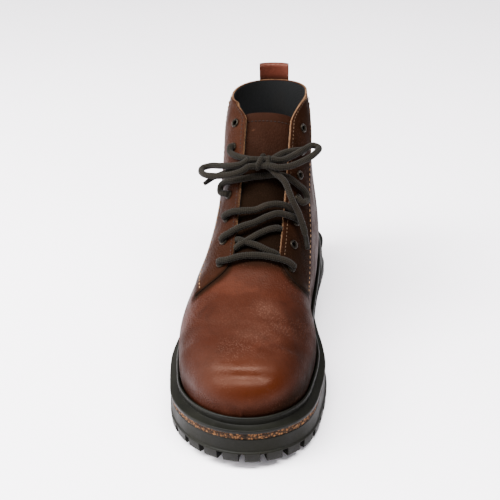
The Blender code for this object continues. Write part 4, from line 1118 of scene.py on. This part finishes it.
END_LATERAL = [
    (-1.68, -0.48, -0.62), (-3.10, -0.64, -1.20), (-4.70, -0.78, -1.86), (-6.30, -1.12, -2.40),
    (-7.62, -1.69, -2.60), (-8.99, -2.65, -2.80)]
END_MEDIAL = [
    (1.60, -0.80, -0.56), (2.60, -1.80, -0.26), (3.83, -2.99, -0.12), (4.68, -4.72, -0.28),
    (5.30, -6.14, -0.52), (6.02, -7.29, -1.48), (6.65, -8.67, -2.50), (7.11, -9.97, -3.30),
    (7.43, -11.40, -3.80), (7.62, -12.45, -4.00)]
LACE_STEP = 0.0008
LEAD_ROW = 5
# Where the lace dips into a hole, it is pressed to this share of its width, over this length.
DIP_SHARE = 0.66
DIP_REACH = 0.005
TIP_LENGTH = 0.012
TIP_RADIUS = 0.0019
CRIMP = 0.62


def held_points(rows):
    """Points of a table of the held lace, off the form by its lift."""
    rows = table(HELD_COLUMNS, rows)
    base = lace_line(EYELET_SIDE * rows["side"], EYELET_START + EYELET_PITCH * rows["row"])
    return base + normal(base) * (LACE_DIAMETER * rows["lift"])[:, None]


def bow_points(rows):
    """Points of the bow from shares of the lace's diameter along the knot's axes."""
    centre = lace_line(KNOT_CENTRE_SIDE, KNOT_DISTANCE) + KNOT_LIFT * LACE_OUT
    axes = np.array([(1.0, 0.0, 0.0), LACE_CLIMB, LACE_OUT])
    return centre + LACE_DIAMETER * np.array(rows) @ axes


def narrowing(path, both):
    """Radius of the lace along a path, less where it dips in at its start, or at both ends."""
    run = travelled(path)
    far = np.minimum(run, run[-1] - run) if both else run
    return LACE_DIAMETER / 2 * (DIP_SHARE + (1 - DIP_SHARE) * ease(far, 0.0, DIP_REACH))


def into_eyelet(side, row):
    """Three points that carry the lace from over an eyelet down through its hole."""
    return [(side, row, 0.78), (side * 0.995, row, 0.30), (side * 0.99, row, -0.42)]


def from_eyelet(side, row):
    """The same three points on the way up."""
    return into_eyelet(side, row)[::-1]


def lead(side, rows, knot_end):
    """Points of a lead, from its eyelet to where it enters the knot."""
    held = held_points(from_eyelet(side, LEAD_ROW) + rows)
    return np.append(held, bow_points([knot_end]), 0)


def make_held_lace():
    """The lengths that the boot holds, running down into their eyelets."""
    low = from_eyelet(-1, 1) + LACE_OVER_LOW + into_eyelet(1, 2)
    slack = from_eyelet(-1, 3) + LACE_SLACK + into_eyelet(1, 3)[1:]
    lengths = {
        "lace_bar": ([held_points(from_eyelet(-1, 0) + LACE_BAR + into_eyelet(1, 0))], True),
        "lace_cross": ([held_points(LACE_CROSS_OVER), held_points(LACE_CROSS_UNDER)], True),
        "lace_over_low": ([held_points(low)], True),
        "lace_over_high": ([held_points(from_eyelet(-1, 2) + LACE_OVER_HIGH)], False),
        "lace_slack": ([held_points(slack)], True),
        "lace_lead_lateral": ([lead(-1, LACE_LEAD_LATERAL, KNOT_LATERAL)], False),
        "lace_lead_medial": ([lead(1, LACE_LEAD_MEDIAL, KNOT_MEDIAL)], False),
    }
    for name, (lines, both) in lengths.items():
        paths = [curve_through(points, LACE_STEP) for points in lines]
        runs = [(path, narrowing(path, both)) for path in paths]
        settle(tubes(name + "_braid", runs, [LACE]), "black_lace", name)


def make_knot():
    """The tied knot: strands through its middle and a turn of lace wrapped round them."""
    strands = [
        [LOOP_LATERAL[0], (0.0, 0.34, 0.16), LOOP_MEDIAL[0]],
        [LOOP_LATERAL[-1], (0.0, -0.62, 0.10), LOOP_MEDIAL[-1]],
        [KNOT_LATERAL, (0.0, 0.20, -0.55), END_MEDIAL[0]],
        [KNOT_MEDIAL, (0.0, 0.05, -0.62), END_LATERAL[0]],
    ]
    runs = [(curve_through(bow_points(rows), LACE_STEP), LACE_DIAMETER / 2) for rows in strands]
    turn = np.linspace(0.35 * np.pi, 2.2 * np.pi, 60)
    wrap = np.stack([0.42 * np.cos(turn - 0.3), 0.92 * np.cos(turn), 0.66 * np.sin(turn)], -1)
    runs.append((bow_points(wrap), LACE_DIAMETER * 0.47))
    turn = np.linspace(-0.9, 0.9, 24)
    cheek = np.stack([1.05 + 0.25 * np.cos(turn), np.sin(turn) - 0.1,
                      0.25 + 0.30 * np.cos(turn)], -1)
    runs.append((bow_points(cheek), LACE_DIAMETER * 0.40))
    return settle(tubes("lace_knot_braid", runs, [LACE]), "black_lace", "lace_knot")


def make_free_lace(name, rows, tipped, companions=()):
    """A loop or an end of the bow as a free cord, with its tip where it has one."""
    path = curve_through(bow_points(rows), LACE_STEP)
    run = travelled(path)
    radius = np.full(len(path), LACE_DIAMETER / 2)
    pieces = list(companions)
    if tipped:
        left = run[-1] - run
        radius = radius * (CRIMP + (1 - CRIMP) * ease(left, TIP_LENGTH - 0.003, TIP_LENGTH + 0.002))
        end = path[left < TIP_LENGTH]
        gone = travelled(end) / TIP_LENGTH
        round_off = 0.86 + 0.14 * ease(gone, 0.0, 0.12) - 0.30 * ease(gone, 0.80, 1.0)
        tip_radius = TIP_RADIUS * round_off
        tip = tubes(name + "_tip", [(end, tip_radius)], [TIP], sides=24)
        settle(tip, "black_lace")
        pieces.append(tip)
    cord = tubes(name + "_braid", [(path, radius)], [LACE])
    settle(cord, "black_lace", name)


make_camera()
make_studio()
knot = make_knot()
make_free_lace("lace_loop_lateral", LOOP_LATERAL, False, [knot])
make_free_lace("lace_loop_medial", LOOP_MEDIAL, False)
make_free_lace("lace_end_lateral", END_LATERAL, True)
make_free_lace("lace_end_medial", END_MEDIAL, True)
make_held_lace()


# Upper. Creases across the vamp: plan points in metres, depth and width in metres.
CREASES = [
    ([(0.002, -0.0880), (0.014, -0.0925), (0.025, -0.0990), (0.037, -0.0990), (0.048, -0.0870)],
     0.00095, 0.0034),
    ([(-0.034, -0.0800), (-0.018, -0.0870), (-0.002, -0.0885), (0.014, -0.0865)], 0.00045, 0.0036),
    ([(0.006, -0.0790), (0.016, -0.0800), (0.028, -0.0790), (0.038, -0.0750)], 0.00045, 0.0024),
    ([(-0.022, -0.1275), (-0.004, -0.1310), (0.014, -0.1305), (0.034, -0.1255)], 0.00075, 0.0029),
    ([(-0.042, -0.0800), (-0.034, -0.0905), (-0.020, -0.0980), (-0.004, -0.1000)], 0.00030, 0.0030),
    ([(0.012, -0.1030), (0.022, -0.1085), (0.034, -0.1075)], 0.00030, 0.0026),
]
CREASE_STEP = 0.004
STEADY_ABOVE = 0.0835
FAR_AWAY = 9.0
# Points of the leather's grid and of the lining's: round the boot and up it.
LEATHER_GRID = (320, 96)
LINING_GRID = (160, 48)
# Patches of painted highlight, where light catches the pebbles and they are pale: plan point, reach
# across and along, amount.
PAINTED_HIGHLIGHT_PATCHES = [((0.017, -0.070), 0.010, 0.008, 0.75), ((0.011, -0.098), 0.013, 0.007, 0.65),
        ((0.027, -0.085), 0.010, 0.004, 0.40), ((-0.004, -0.082), 0.022, 0.016, 0.30)]


def line_distance(point, line):
    """Distance in plan from points to a line through plan points, and the share run along it."""
    line = np.array(line)
    run = travelled(line)
    best = np.full(point.shape[:-1], FAR_AWAY)
    share = np.zeros(point.shape[:-1])
    for i in range(len(line) - 1):
        step = line[i + 1] - line[i]
        t = np.clip(((point[..., :2] - line[i]) @ step) / (step @ step), 0.0, 1.0)
        far = np.linalg.norm(point[..., :2] - line[i] - t[..., None] * step, axis=-1)
        near = far < best
        best = np.where(near, far, best)
        share = np.where(near, (run[i] + t * (run[i + 1] - run[i])) / run[-1], share)
    return best, share


def nearest(point, line):
    """Distance from points to the nearest point of a line."""
    far = np.full(len(point), FAR_AWAY)
    for place in line:
        far = np.minimum(far, np.linalg.norm(point - place, axis=1))
    return far


def from_crease(point, line):
    """Distance in plan from points to a crease, and the share run along it."""
    finely = curve_through(np.column_stack([line, np.zeros(len(line))]), CREASE_STEP)[:, :2]
    return line_distance(point, finely)


def crease_depth(point):
    """Rise of the leather at points: troughs along the creases with a low ridge on each side."""
    rise = np.zeros(point.shape[:-1])
    for line, depth, width in CREASES:
        far, share = from_crease(point, line)
        fade = np.sin(np.pi * np.clip(share, 0.02, 0.98)) ** 0.6
        rise += depth * fade * (0.55 * bell(far - 2.1 * width, 1.3 * width) - bell(far, width))
    x, y, z = point[..., 0], point[..., 1], point[..., 2]
    wave = np.sin(95 * x + 2.1 * np.sin(60 * y)) * np.sin(80 * y + 55 * z + 1.7 * np.sin(70 * x))
    upper_part = ease(z, 0.040, 0.050) * (1 - ease(z, STEADY_ABOVE - 0.008, STEADY_ABOVE))
    return rise * upper_part + 0.00012 * wave * (1 - ease(z, 0.074, STEADY_ABOVE))


def make_upper():
    """Leather of the upper with its creases, and the black lining inside it."""
    face = upper_face(*LEATHER_GRID)
    out = normal(face)
    moved = face + out * crease_depth(face)[..., None]
    skin = shell("upper_leather", moved, face - out * (WALL - LINING), True, [LEATHER, EDGE])
    face = upper_face(*LINING_GRID)
    out = normal(face)
    rise = np.linspace(0.0, 1.0, LINING_GRID[1])[:, None, None]
    drop = LINING_DROP * ease(rise, 0.97, 1.0) * np.array([0.0, 0.0, 1.0])
    outer, inner = face - out * (WALL - LINING + LINING_GAP) - drop, face - out * WALL - drop
    lining = shell("upper_lining", outer, inner, True, [LINING_CLOTH], rim=0)
    for side in (1, -1):
        cut(skin, drums(side), "holes_upper")
        cut(lining, drums(side), "holes_lining")
    shade_marks(skin, seam_shade_lines())
    settle(skin, "brown_leather", "upper")
    settle(lining, "black_lining", "upper")


def seam_shade_lines():
    """Lines beside which painted shade darkens the leather: points, width in metres and amount."""
    edges = np.linspace(0.0, 1.0, 90)
    # Painted shadow across the throat's foot under the lowest lace, and along each eyestay's lower
    # and rear edges.
    lines = [(lace_line(np.linspace(-1, 1, 40) * THROAT_GAP / 2, 0.0), 0.0095, 0.95)]
    for side in (1, -1):
        lines.append((eyestay_points(side, edges, 0 * edges), 0.0050, 1.0))
        lines.append((eyestay_points(side, 1 + 0 * edges, edges), 0.0022, 0.75))
    return lines


def shade_marks(obj, painted_shade_lines):
    """Marks on a leather piece: painted shade beside its seam lines and in its main creases, low by
    the welt, on the medial side and on a lateral patch of the vamp; a painted highlight across the
    toe; a painted highlight of pale pebbles in patches of the vamp.
    """
    point = places(obj)
    x, y, z = point.T
    # Painted shade low by the welt, weaker towards the lateral side, and on the medial side.
    dark = 0.80 * (1 - ease(z, 0.034, 0.056))
    dark = dark * (0.30 + 0.70 * ease(x, -0.030, 0.020))
    dark = dark + 0.45 * ease(x, 0.022, 0.046)
    # Painted shade beside the seam lines.
    for line, width, amount in painted_shade_lines:
        dark = np.maximum(dark, amount * bell(nearest(point, line), width))
    # Painted shade in the main creases.
    for line, _, width in CREASES[:3]:
        far, share = from_crease(point, line)
        dark = dark + 0.14 * bell(far, width) * np.sin(np.pi * share)
    # Painted shade on a lateral patch of the vamp.
    dark = dark + 0.50 * bell(x + 0.046, 0.016) * (1 - ease(y, -0.085, -0.060))
    # Painted highlight across the toe.
    polish_and_painted_highlight = bell(y + 0.131, 0.016) * bell(x - 0.012, 0.040) * ease(z, 0.040, 0.058)
    # Painted highlight of pale pebbles in patches of the vamp.
    wear_and_painted_highlight = np.zeros(len(point))
    for place, across, along, amount in PAINTED_HIGHLIGHT_PATCHES:
        wear_and_painted_highlight += amount * bell((x - place[0]) / across, 1.0) * bell((y - place[1]) / along, 1.0)
    mark(obj, "dark", np.clip(dark, 0.0, 1.0))
    mark(obj, "polish_and_painted_highlight", polish_and_painted_highlight)
    mark(obj, "wear_and_painted_highlight", wear_and_painted_highlight * (z > 0.045))


def eyelet_frame(side, row):
    """Point on the form under an eyelet and its axes: across, along and outward."""
    base = lace_line(side * EYELET_SIDE, EYELET_START + EYELET_PITCH * row)
    out = normal(base)
    across = unit(np.cross((0.0, 1.0, 0.0), out))
    return base, across, np.cross(out, across), out


def turned(place, profile, sides):
    """Loops round a frame's outward axis, one for each radius and height of the profile."""
    base, across, along, out = place
    angle = np.arange(sides)[:, None] * 2 * np.pi / sides
    around = np.cos(angle) * across + np.sin(angle) * along
    return np.array([base + radius * around + height * out for radius, height in profile])


def drums(side):
    """Round cutters through the leather at each eyelet of one side."""
    reach = WALL + EYESTAY_THICKNESS
    radius = BARREL_RADIUS + GAP
    return [turned(eyelet_frame(side, row), [(radius, -reach), (radius, reach)], 20)
            for row in range(EYELET_ROWS)]


# An eyestay's usual breadth and its length up the boot, in metres.
STAY_BREADTH = 0.028
STAY_LENGTH = 0.14
# Rows and columns of its grid.
STAY_GRID = (110, 40)


def make_eyestay(side, name, node_name):
    """Raised panel beside the throat, its cut edges a little rounded, thin at its top's rear."""
    up = np.linspace(0.0, 1.0, STAY_GRID[0])[:, None]
    back = np.linspace(0.0, 1.0, STAY_GRID[1])[None, :]
    face = eyestay_points(side, back, up)
    out = normal(face)
    inwards = np.minimum(np.minimum(back, 1 - back) * STAY_BREADTH,
                         np.minimum(up, 1 - up) * STAY_LENGTH)
    swell = 0.00010 * np.sin(38 * up + 3 * back) * np.sin(11 * back + 5 * up)
    thin = 1 - 0.6 * ease(up, 0.90, 1.0) * ease(back, 0.2, 0.8)
    top = GAP + (EYESTAY_THICKNESS - 0.0005 * (1 - ease(inwards, 0.0, 0.0012)) + swell) * thin
    obj = shell(name, face + out * top[..., None], face + out * GAP, False, [STAY_LEATHER, EDGE])
    cut(obj, drums(side), "holes_" + name)
    point = places(obj)
    x, _, z = point.T
    # Painted shade: on the medial eyestay and low on it, by the rear edge, and a shadow line along
    # the lower front edge.
    dark = 0.55 * ease(x, 0.012, 0.030) + 0.25 * bell(z - 0.090, 0.014) * (x > 0.0)
    along = np.linspace(0.0, 1.0, 60)
    rear = nearest(point, eyestay_points(side, np.ones(60), along))
    low = nearest(point, eyestay_points(side, along, np.zeros(60)))
    dark = dark + 0.30 * bell(rear, 0.0030) + 0.95 * bell(low, 0.0022)
    mark(obj, "dark", np.clip(dark, 0.0, 1.0))
    # Painted highlight on the top of the lateral eyestay.
    mark(obj, "polish_and_painted_highlight", 0.35 * bell(z - 0.150, 0.030) * (x < 0.0))
    return settle(obj, "brown_leather", node_name)


# Eyelet section: radius and height; the flange is rolled over and turns down into the hole.
SEAT = GAP + EYESTAY_THICKNESS + FLANGE_SEAT
EYELET_SECTION = [
    (EYELET_HOLE, -WALL + GAP), (BARREL_RADIUS, -WALL + GAP), (BARREL_RADIUS, SEAT),
    (FLANGE_RADIUS - 0.00010, SEAT), (FLANGE_RADIUS, SEAT + 0.00012),
    (FLANGE_RADIUS - 0.00006, SEAT + 0.00042), (FLANGE_RADIUS - 0.00030, SEAT + 0.00072),
    (FLANGE_RADIUS - 0.00065, SEAT + 0.00088), (FLANGE_RADIUS - 0.00100, SEAT + 0.00085),
    (EYELET_HOLE + 0.00035, SEAT + 0.00062), (EYELET_HOLE + 0.00010, SEAT + 0.00030),
    (EYELET_HOLE, SEAT - 0.00030)]


def make_eyelets(side, label):
    """Row of flanged eyelets of one side, each turned round its own axis."""
    points, faces, sides = [], [], 32
    last = (len(EYELET_SECTION) - 1) * sides
    c = np.arange(sides)
    d = (c + 1) % sides
    closed = np.concatenate([grid_quads(len(EYELET_SECTION), sides, True),
                             np.stack([last + c, last + d, d, c], -1)])
    for row in range(EYELET_ROWS):
        points.append(turned(eyelet_frame(side, row), EYELET_SECTION, sides).reshape(-1, 3))
        faces.append(closed + row * (last + sides))
    obj = build("eyelets_" + label, np.concatenate(points), [(np.concatenate(faces), 0)], [BRASS],
                crease_angle=50.0)
    names = ["eyelet_%s%d" % (label[0], row + 1) for row in range(EYELET_ROWS)]
    return settle(obj, "aged_brass", *names)


TONGUE_START = -0.014
TONGUE_END = 0.1225
TONGUE_GRID = (120, 48)
TONGUE_BAND = 0.0068
TONGUE_LIFT = 0.0001
STITCH_LIFT = 0.0001
FINE_STITCH = {"length": 0.0022, "radius": 0.00026, "pitch": 0.0031}


def make_tongue():
    """Tongue under the throat: a soft leather sheet with a turned band along its top."""
    across = np.linspace(-1.0, 1.0, TONGUE_GRID[1])[None, :]
    rise = np.linspace(0.0, 1.0, TONGUE_GRID[0])[:, None]
    end = TONGUE_END - TONGUE_CORNER * np.abs(across) ** 8
    distance = TONGUE_START + (end - TONGUE_START) * rise
    side = across * TONGUE_WIDTH / 2 * (0.86 + 0.14 * rise)
    face = lace_line(side, distance)
    out = normal(face)
    middle = bell(side, 0.016)
    sag = 0.0004 * np.sin(distance * 210 + 2 * np.sin(40 * side)) * middle * (distance < 0.105)
    band = 0.00045 * bell(end - distance - TONGUE_BAND, 0.0008)
    top = -(WALL + TONGUE_GAP) - TONGUE_LIFT + 0.9 * sag - band
    top = np.minimum(top, -(WALL + TONGUE_GAP))
    low = np.full(top.shape, -(WALL + TONGUE_GAP + TONGUE_THICKNESS))
    obj = shell("tongue_leather", face + out * top[..., None], face + out * low[..., None], False,
                [TONGUE_LEATHER, EDGE])
    point = places(obj)
    # Painted shade on the tongue below its top, where it lies between the eyestays; a painted
    # highlight on its top.
    mark(obj, "dark", 0.92 - 0.82 * ease(point[:, 2], 0.128, 0.160))
    mark(obj, "polish_and_painted_highlight", 0.2 * ease(point[:, 2], 0.140, 0.165))
    row = np.linspace(-0.86, 0.86, 60) * TONGUE_WIDTH / 2
    path = lace_line(row, TONGUE_END - TONGUE_BAND)
    out = normal(path)
    make_stitches("tongue_stitches", [(path - out * (WALL + TONGUE_GAP + TONGUE_LIFT), out)],
                  DARK_THREAD, **FINE_STITCH)
    return settle(obj, "brown_leather", "tongue")


def pull_profile(steps, turns):
    """Middle line of the folded strap: distance off the upper's back and height."""
    inner = GAP + PULL_THICKNESS / 2
    outer = inner + PULL_THICKNESS + GAP
    radius = PULL_EYE + PULL_THICKNESS / 2
    top = PULL_TOP_HEIGHT - PULL_THICKNESS / 2 - radius
    leg = np.linspace(PULL_FOOT_HEIGHT, top, steps)
    turn = np.linspace(0.0, np.pi, turns)[1:-1]
    spread = (2 * radius - (outer - inner)) * ease(leg, top - 0.012, top)
    front = np.column_stack([np.full(steps, inner), leg])
    fold = np.column_stack([inner + radius - radius * np.cos(turn), top + radius * np.sin(turn)])
    back = np.column_stack([outer + spread, leg])[::-1]
    return np.concatenate([front, fold, back])


def pull_face(line, across):
    """Grid on the upper's back, moved off it by a line's distance and height."""
    x = SHAFT_MIDDLE + across + 0 * line[:, 1:2]
    origin = np.stack([x, SHAFT_AXIS + 0 * x, line[:, 1:2] + 0 * x], -1)
    face = cast(origin, (0.0, 1.0, 0.0))
    face[..., 1] += line[:, :1]
    return face


def make_pull_loop():
    """Folded strap sewn on the back of the collar, its two edges a little thinner."""
    line = pull_profile(30, 15)
    along = unit(np.gradient(line, axis=0))
    share = np.linspace(-1.0, 1.0, 25)
    across = share[None, :] * PULL_WIDTH / 2
    grids = []
    for half in (PULL_THICKNESS / 2, -PULL_THICKNESS / 2):
        moved = np.column_stack([line[:, 0] - along[:, 1] * half, line[:, 1] + along[:, 0] * half])
        grids.append(pull_face(moved, across))
    middle = (grids[0] + grids[1]) / 2
    thin = (1 - 0.22 * np.abs(share) ** 10)[None, :, None]
    outer, inner = middle + (grids[0] - middle) * thin, middle + (grids[1] - middle) * thin
    obj = shell("pull_loop_strap", outer, inner, False, [PULL_LEATHER, EDGE])
    down = PULL_TOP_HEIGHT - places(obj)[:, 2]
    # Painted shade below the folded top.
    mark(obj, "dark", 0.80 * ease(down, 0.006, 0.014))
    return settle(obj, "brown_leather", "pull_loop")


STITCH_STATIONS = 7
STITCH_SIDES = 6


def spread(at, run, rows):
    """Rows of x, y and z read off between, at places along a run."""
    return np.stack([np.interp(at, run, rows[:, i]) for i in range(3)], -1)


def make_stitches(name, rows, material, length=0.0030, radius=0.00036, pitch=0.0043):
    """Rows of short stitches that dip into the leather at their ends, from paths on it."""
    points, faces, start = [], [], 0
    stations = np.linspace(-1.0, 1.0, STITCH_STATIONS)
    sides = STITCH_SIDES
    turn = np.arange(sides) * 2 * np.pi / sides
    sag = -1.3 * np.abs(stations) ** 2.5
    thick = np.sqrt(np.clip(1 - (np.abs(stations) * 0.98) ** 6, 0.0, 1.0))
    for path, out in rows:
        run = travelled(path)
        at = np.arange(pitch / 2, run[-1], pitch)
        place = spread(at, run, path)
        up = unit(spread(at, run, out))
        ahead = spread(at + 0.001, run, path) - spread(at - 0.001, run, path)
        ahead = unit(ahead - up * (ahead * up).sum(-1, keepdims=True))
        side = np.cross(ahead, up)
        centre = (place[:, None] + ahead[:, None] * (stations * length / 2)[None, :, None]
                  + up[:, None] * (sag * radius)[None, :, None])
        around = (np.cos(turn)[None, None, :, None] * side[:, None, None]
                  + np.sin(turn)[None, None, :, None] * up[:, None, None])
        ring_points = centre[:, :, None] + radius * thick[None, :, None, None] * around
        block = grid_quads(len(stations), sides, True)
        caps = np.array([[0, 1, 2, 3], [3, 4, 5, 0]])
        block = np.concatenate([block, caps[:, ::-1], caps + (len(stations) - 1) * sides])
        size = len(stations) * sides
        first = start + np.arange(len(at)) * size
        faces.append((block[None] + first[:, None, None]).reshape(-1, 4))
        points.append(ring_points.reshape(-1, 3))
        start += len(at) * size
    obj = build(name, np.concatenate(points), [(np.concatenate(faces), 0)], [material],
                crease_angle=80.0)
    return settle(obj, "brown_leather")


def stay_row(side, back):
    """Path of stitches up an eyestay, with its normals; back is its share from the throat."""
    along = np.linspace(0.015, 0.985, 160)
    face = eyestay_points(side, back + 0 * along, along)
    out = normal(face)
    return face + out * (GAP + EYESTAY_THICKNESS + STITCH_LIFT), out


make_upper()
make_eyestay(1, "eyestay_leather_medial", "eyestay_medial")
make_eyestay(-1, "eyestay_leather_lateral", "eyestay_lateral")
make_eyelets(1, "medial")
make_eyelets(-1, "lateral")
make_tongue()
make_pull_loop()
rear_row = 1 - 0.0036 / STAY_BREADTH
make_stitches("tan_stitches", [stay_row(side, rear_row) for side in (1, -1)], TAN_THREAD)
make_stitches("throat_stitches", [stay_row(1, 0.0022 / STAY_BREADTH)], WORN_THREAD, **FINE_STITCH)
make_stitches("brown_stitches", [stay_row(-1, 0.0026 / STAY_BREADTH)], DARK_THREAD, **FINE_STITCH)


# Sole. Side of the outsole: height is a share of its thickness, inset is in metres.
SIDE = [(0.00, 0.0012), (0.03, 0.0006), (0.10, 0.0002), (0.40, 0.0000), (0.43, 0.0003),
        (0.46, 0.0011), (0.50, 0.0014), (0.92, 0.0018), (0.97, 0.0020), (1.00, 0.0026)]
SOLE_COUNT = 288


def tread_arcs():
    """Places of the notches along the outline: points and outward directions in x and y."""
    share = (1 - np.cos(np.linspace(0.0, np.pi, 400))) / 2
    spots = []
    for side in (1, -1):
        half = plan_width(share) * round_ends(share)
        line = np.stack([plan_centre(share) + side * half, (share - 0.5) * SOLE_LENGTH], -1)
        run = travelled(line)
        out = unit(np.gradient(line, axis=0)[:, ::-1] * (side, -side))
        first = 0.0 if side == 1 else TREAD_PITCH
        for start, step in ((first, TREAD_PITCH), (run[-1] - first, -TREAD_PITCH)):
            for at in np.arange(start, run[-1] / 2 if step > 0 else run[-1] / 2 + 1e-3, step):
                i = np.argmin(np.abs(run - at))
                if not WAIST_FRONT - 0.02 < share[i] < WAIST_BACK + 0.03:
                    spots.append((line[i], out[i]))
    return spots


def notch_cutters():
    """Lofts that cut the notches between the lugs along the edge of the tread."""
    lofts = []
    for place, out in tread_arcs():
        across = np.array([-out[1], out[0]]) * NOTCH_WIDTH / 2
        inner, outer = place - out * NOTCH_REACH, place + out * LEDGE_WIDTH
        narrow = across * NOTCH_TAPER
        plan = np.array([inner - narrow, outer - across, outer + across, inner + narrow])
        top = spring(share_of(place[1])) + LUG_DEPTH
        lofts.append([np.column_stack([plan, np.full(4, z)]) for z in (-LUG_DEPTH, top)])
    return lofts


def slot_loop(share, low, high, top):
    """Upright loop of a cutter across the boot at a share of its length."""
    y = (share - 0.5) * SOLE_LENGTH
    return np.array([(low, y, -LUG_DEPTH), (high, y, -LUG_DEPTH), (high, y, top), (low, y, top)])


def groove_cutters():
    """Lofts that cut the grooves across the forefoot and the heel."""
    lofts = []
    half_width = GROOVE_WIDTH / SOLE_LENGTH / 2
    pitch = TREAD_PITCH / SOLE_LENGTH
    front = np.arange(0.085, WAIST_FRONT - pitch / 2, pitch)
    back = np.arange(WAIST_BACK + pitch, 0.94, pitch)
    for share in np.concatenate([front, back]):
        reach = plan_width(share) * round_ends(share) - GROOVE_MARGIN
        low, high = plan_centre(share) - reach, plan_centre(share) + reach
        top = spring(share) + LUG_DEPTH
        lofts.append([slot_loop(share - half_width, low, high, top),
                      slot_loop(share + half_width, low, high, top)])
    return lofts


def spine_cutters():
    """Lofts that cut the groove along the middle of the forefoot and of the heel."""
    lofts = []
    for first, last in ((0.075, WAIST_FRONT - 0.03), (WAIST_BACK + 0.03, 0.93)):
        rings = []
        for share in np.linspace(first, last, 7):
            middle, top = plan_centre(share), spring(share) + LUG_DEPTH * 0.9
            low, high = middle - GROOVE_WIDTH / 2, middle + GROOVE_WIDTH / 2
            rings.append(slot_loop(share, low, high, top))
        lofts.append(rings)
    return lofts


def waist_cutter():
    """Loft that lifts the waist off the floor and leaves the front face of the heel."""
    rows = ((WAIST_FRONT, 0.02), (WAIST_FRONT + 0.03, 0.80), (0.60, 1.00), (WAIST_BACK, 1.04))
    return [[slot_loop(share, -BALL_WIDTH, BALL_WIDTH, WAIST_HEIGHT * top) for share, top in rows]]


def make_outsole():
    """Lugged outsole through loops of the outline, cut by its notches and grooves."""
    rings = [ring(SOLE_COUNT, inset, lambda s, h=share: spring(s) + h * (seat(s) - spring(s)))
             for share, inset in SIDE]
    obj = stack("outsole_rubber", rings, SOLE_RUBBER, crease_angle=35.0)
    cut(obj, notch_cutters(), "notches")
    cut(obj, groove_cutters(), "grooves")
    cut(obj, spine_cutters(), "spine")
    cut(obj, waist_cutter(), "waist")
    obj.data.shade_smooth()
    obj.data.set_sharp_from_angle(angle=math.radians(28.0))
    return settle(obj, "black_rubber", "outsole")


CORK_INSET = 0.0024
CORK_COUNT = 960


def make_cork():
    """Cork layer between outsole and welt: its cut side is uneven by a tenth of a millimetre."""
    inset = CORK_INSET - EDGE_GAP
    count = CORK_COUNT
    angle = np.arange(count) * 2 * np.pi / count
    rings = []
    for level in np.linspace(0.0, 1.0, 5):
        rough = 0.00012 * (np.sin(211 * angle + 9 * level) + np.sin(137 * angle - 14 * level + 1.3))
        loop = outline(count, inset)
        out = unit((np.roll(loop, -1, 0) - np.roll(loop, 1, 0))[:, ::-1] * (1, -1))
        loop = loop + out * (rough - 0.0002)[:, None]
        share = share_of(loop[:, 1])
        low, high = seat(share) + GAP, cork_top(share)
        rings.append(np.column_stack([loop, low + (high - low) * level]))
    return settle(stack("cork_layer", rings, CORK), "cork", "cork_midsole")


WELT_CORNER = 0.0010
WELT_SIDE_INSET = 0.0009


def make_welt():
    """Welt: a ledge with soft corners and a rounded bead against the upper."""
    turns = np.linspace(0.0, np.pi / 2, 5)
    rings = []
    for turn in turns:
        lift = WELT_CORNER * (1 - np.cos(turn))
        rings.append(ring(SOLE_COUNT, 2 * WELT_SIDE_INSET - WELT_CORNER * np.sin(turn) * 0.9,
                          lambda s, lift=lift: welt_floor(s) + lift))
    for turn in turns:
        drop = WELT_CORNER * (1 - np.sin(turn))
        rings.append(ring(SOLE_COUNT, WELT_SIDE_INSET + WELT_CORNER * 0.9 * (1 - np.cos(turn)),
                          lambda s, drop=drop: ledge(s) - drop))
    middle, half = (BEAD_WIDTH + EDGE_GAP) / 2, (BEAD_WIDTH - EDGE_GAP) / 2
    rings.append(foot_ring(SOLE_COUNT, BEAD_WIDTH + 0.0009, 0.0))
    rings.append(foot_ring(SOLE_COUNT, BEAD_WIDTH + 0.0002, 0.0003))
    rings.append(foot_ring(SOLE_COUNT, BEAD_WIDTH, 0.0010))
    for turn in np.linspace(0.0, np.pi, 11):
        offset = middle + half * np.cos(turn)
        rings.append(foot_ring(SOLE_COUNT, offset, BEAD_HEIGHT * (0.6 + 0.4 * np.sin(turn))))
    rings.append(foot_ring(SOLE_COUNT, EDGE_GAP, 0.0))
    obj = stack("welt_rubber", rings, WELT_RUBBER, crease_angle=50.0)
    return settle(obj, "black_rubber", "welt")


make_outsole()
make_cork()
make_welt()
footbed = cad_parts["insole"]
footbed.data.materials.clear()
footbed.data.materials.append(LINING_CLOTH)
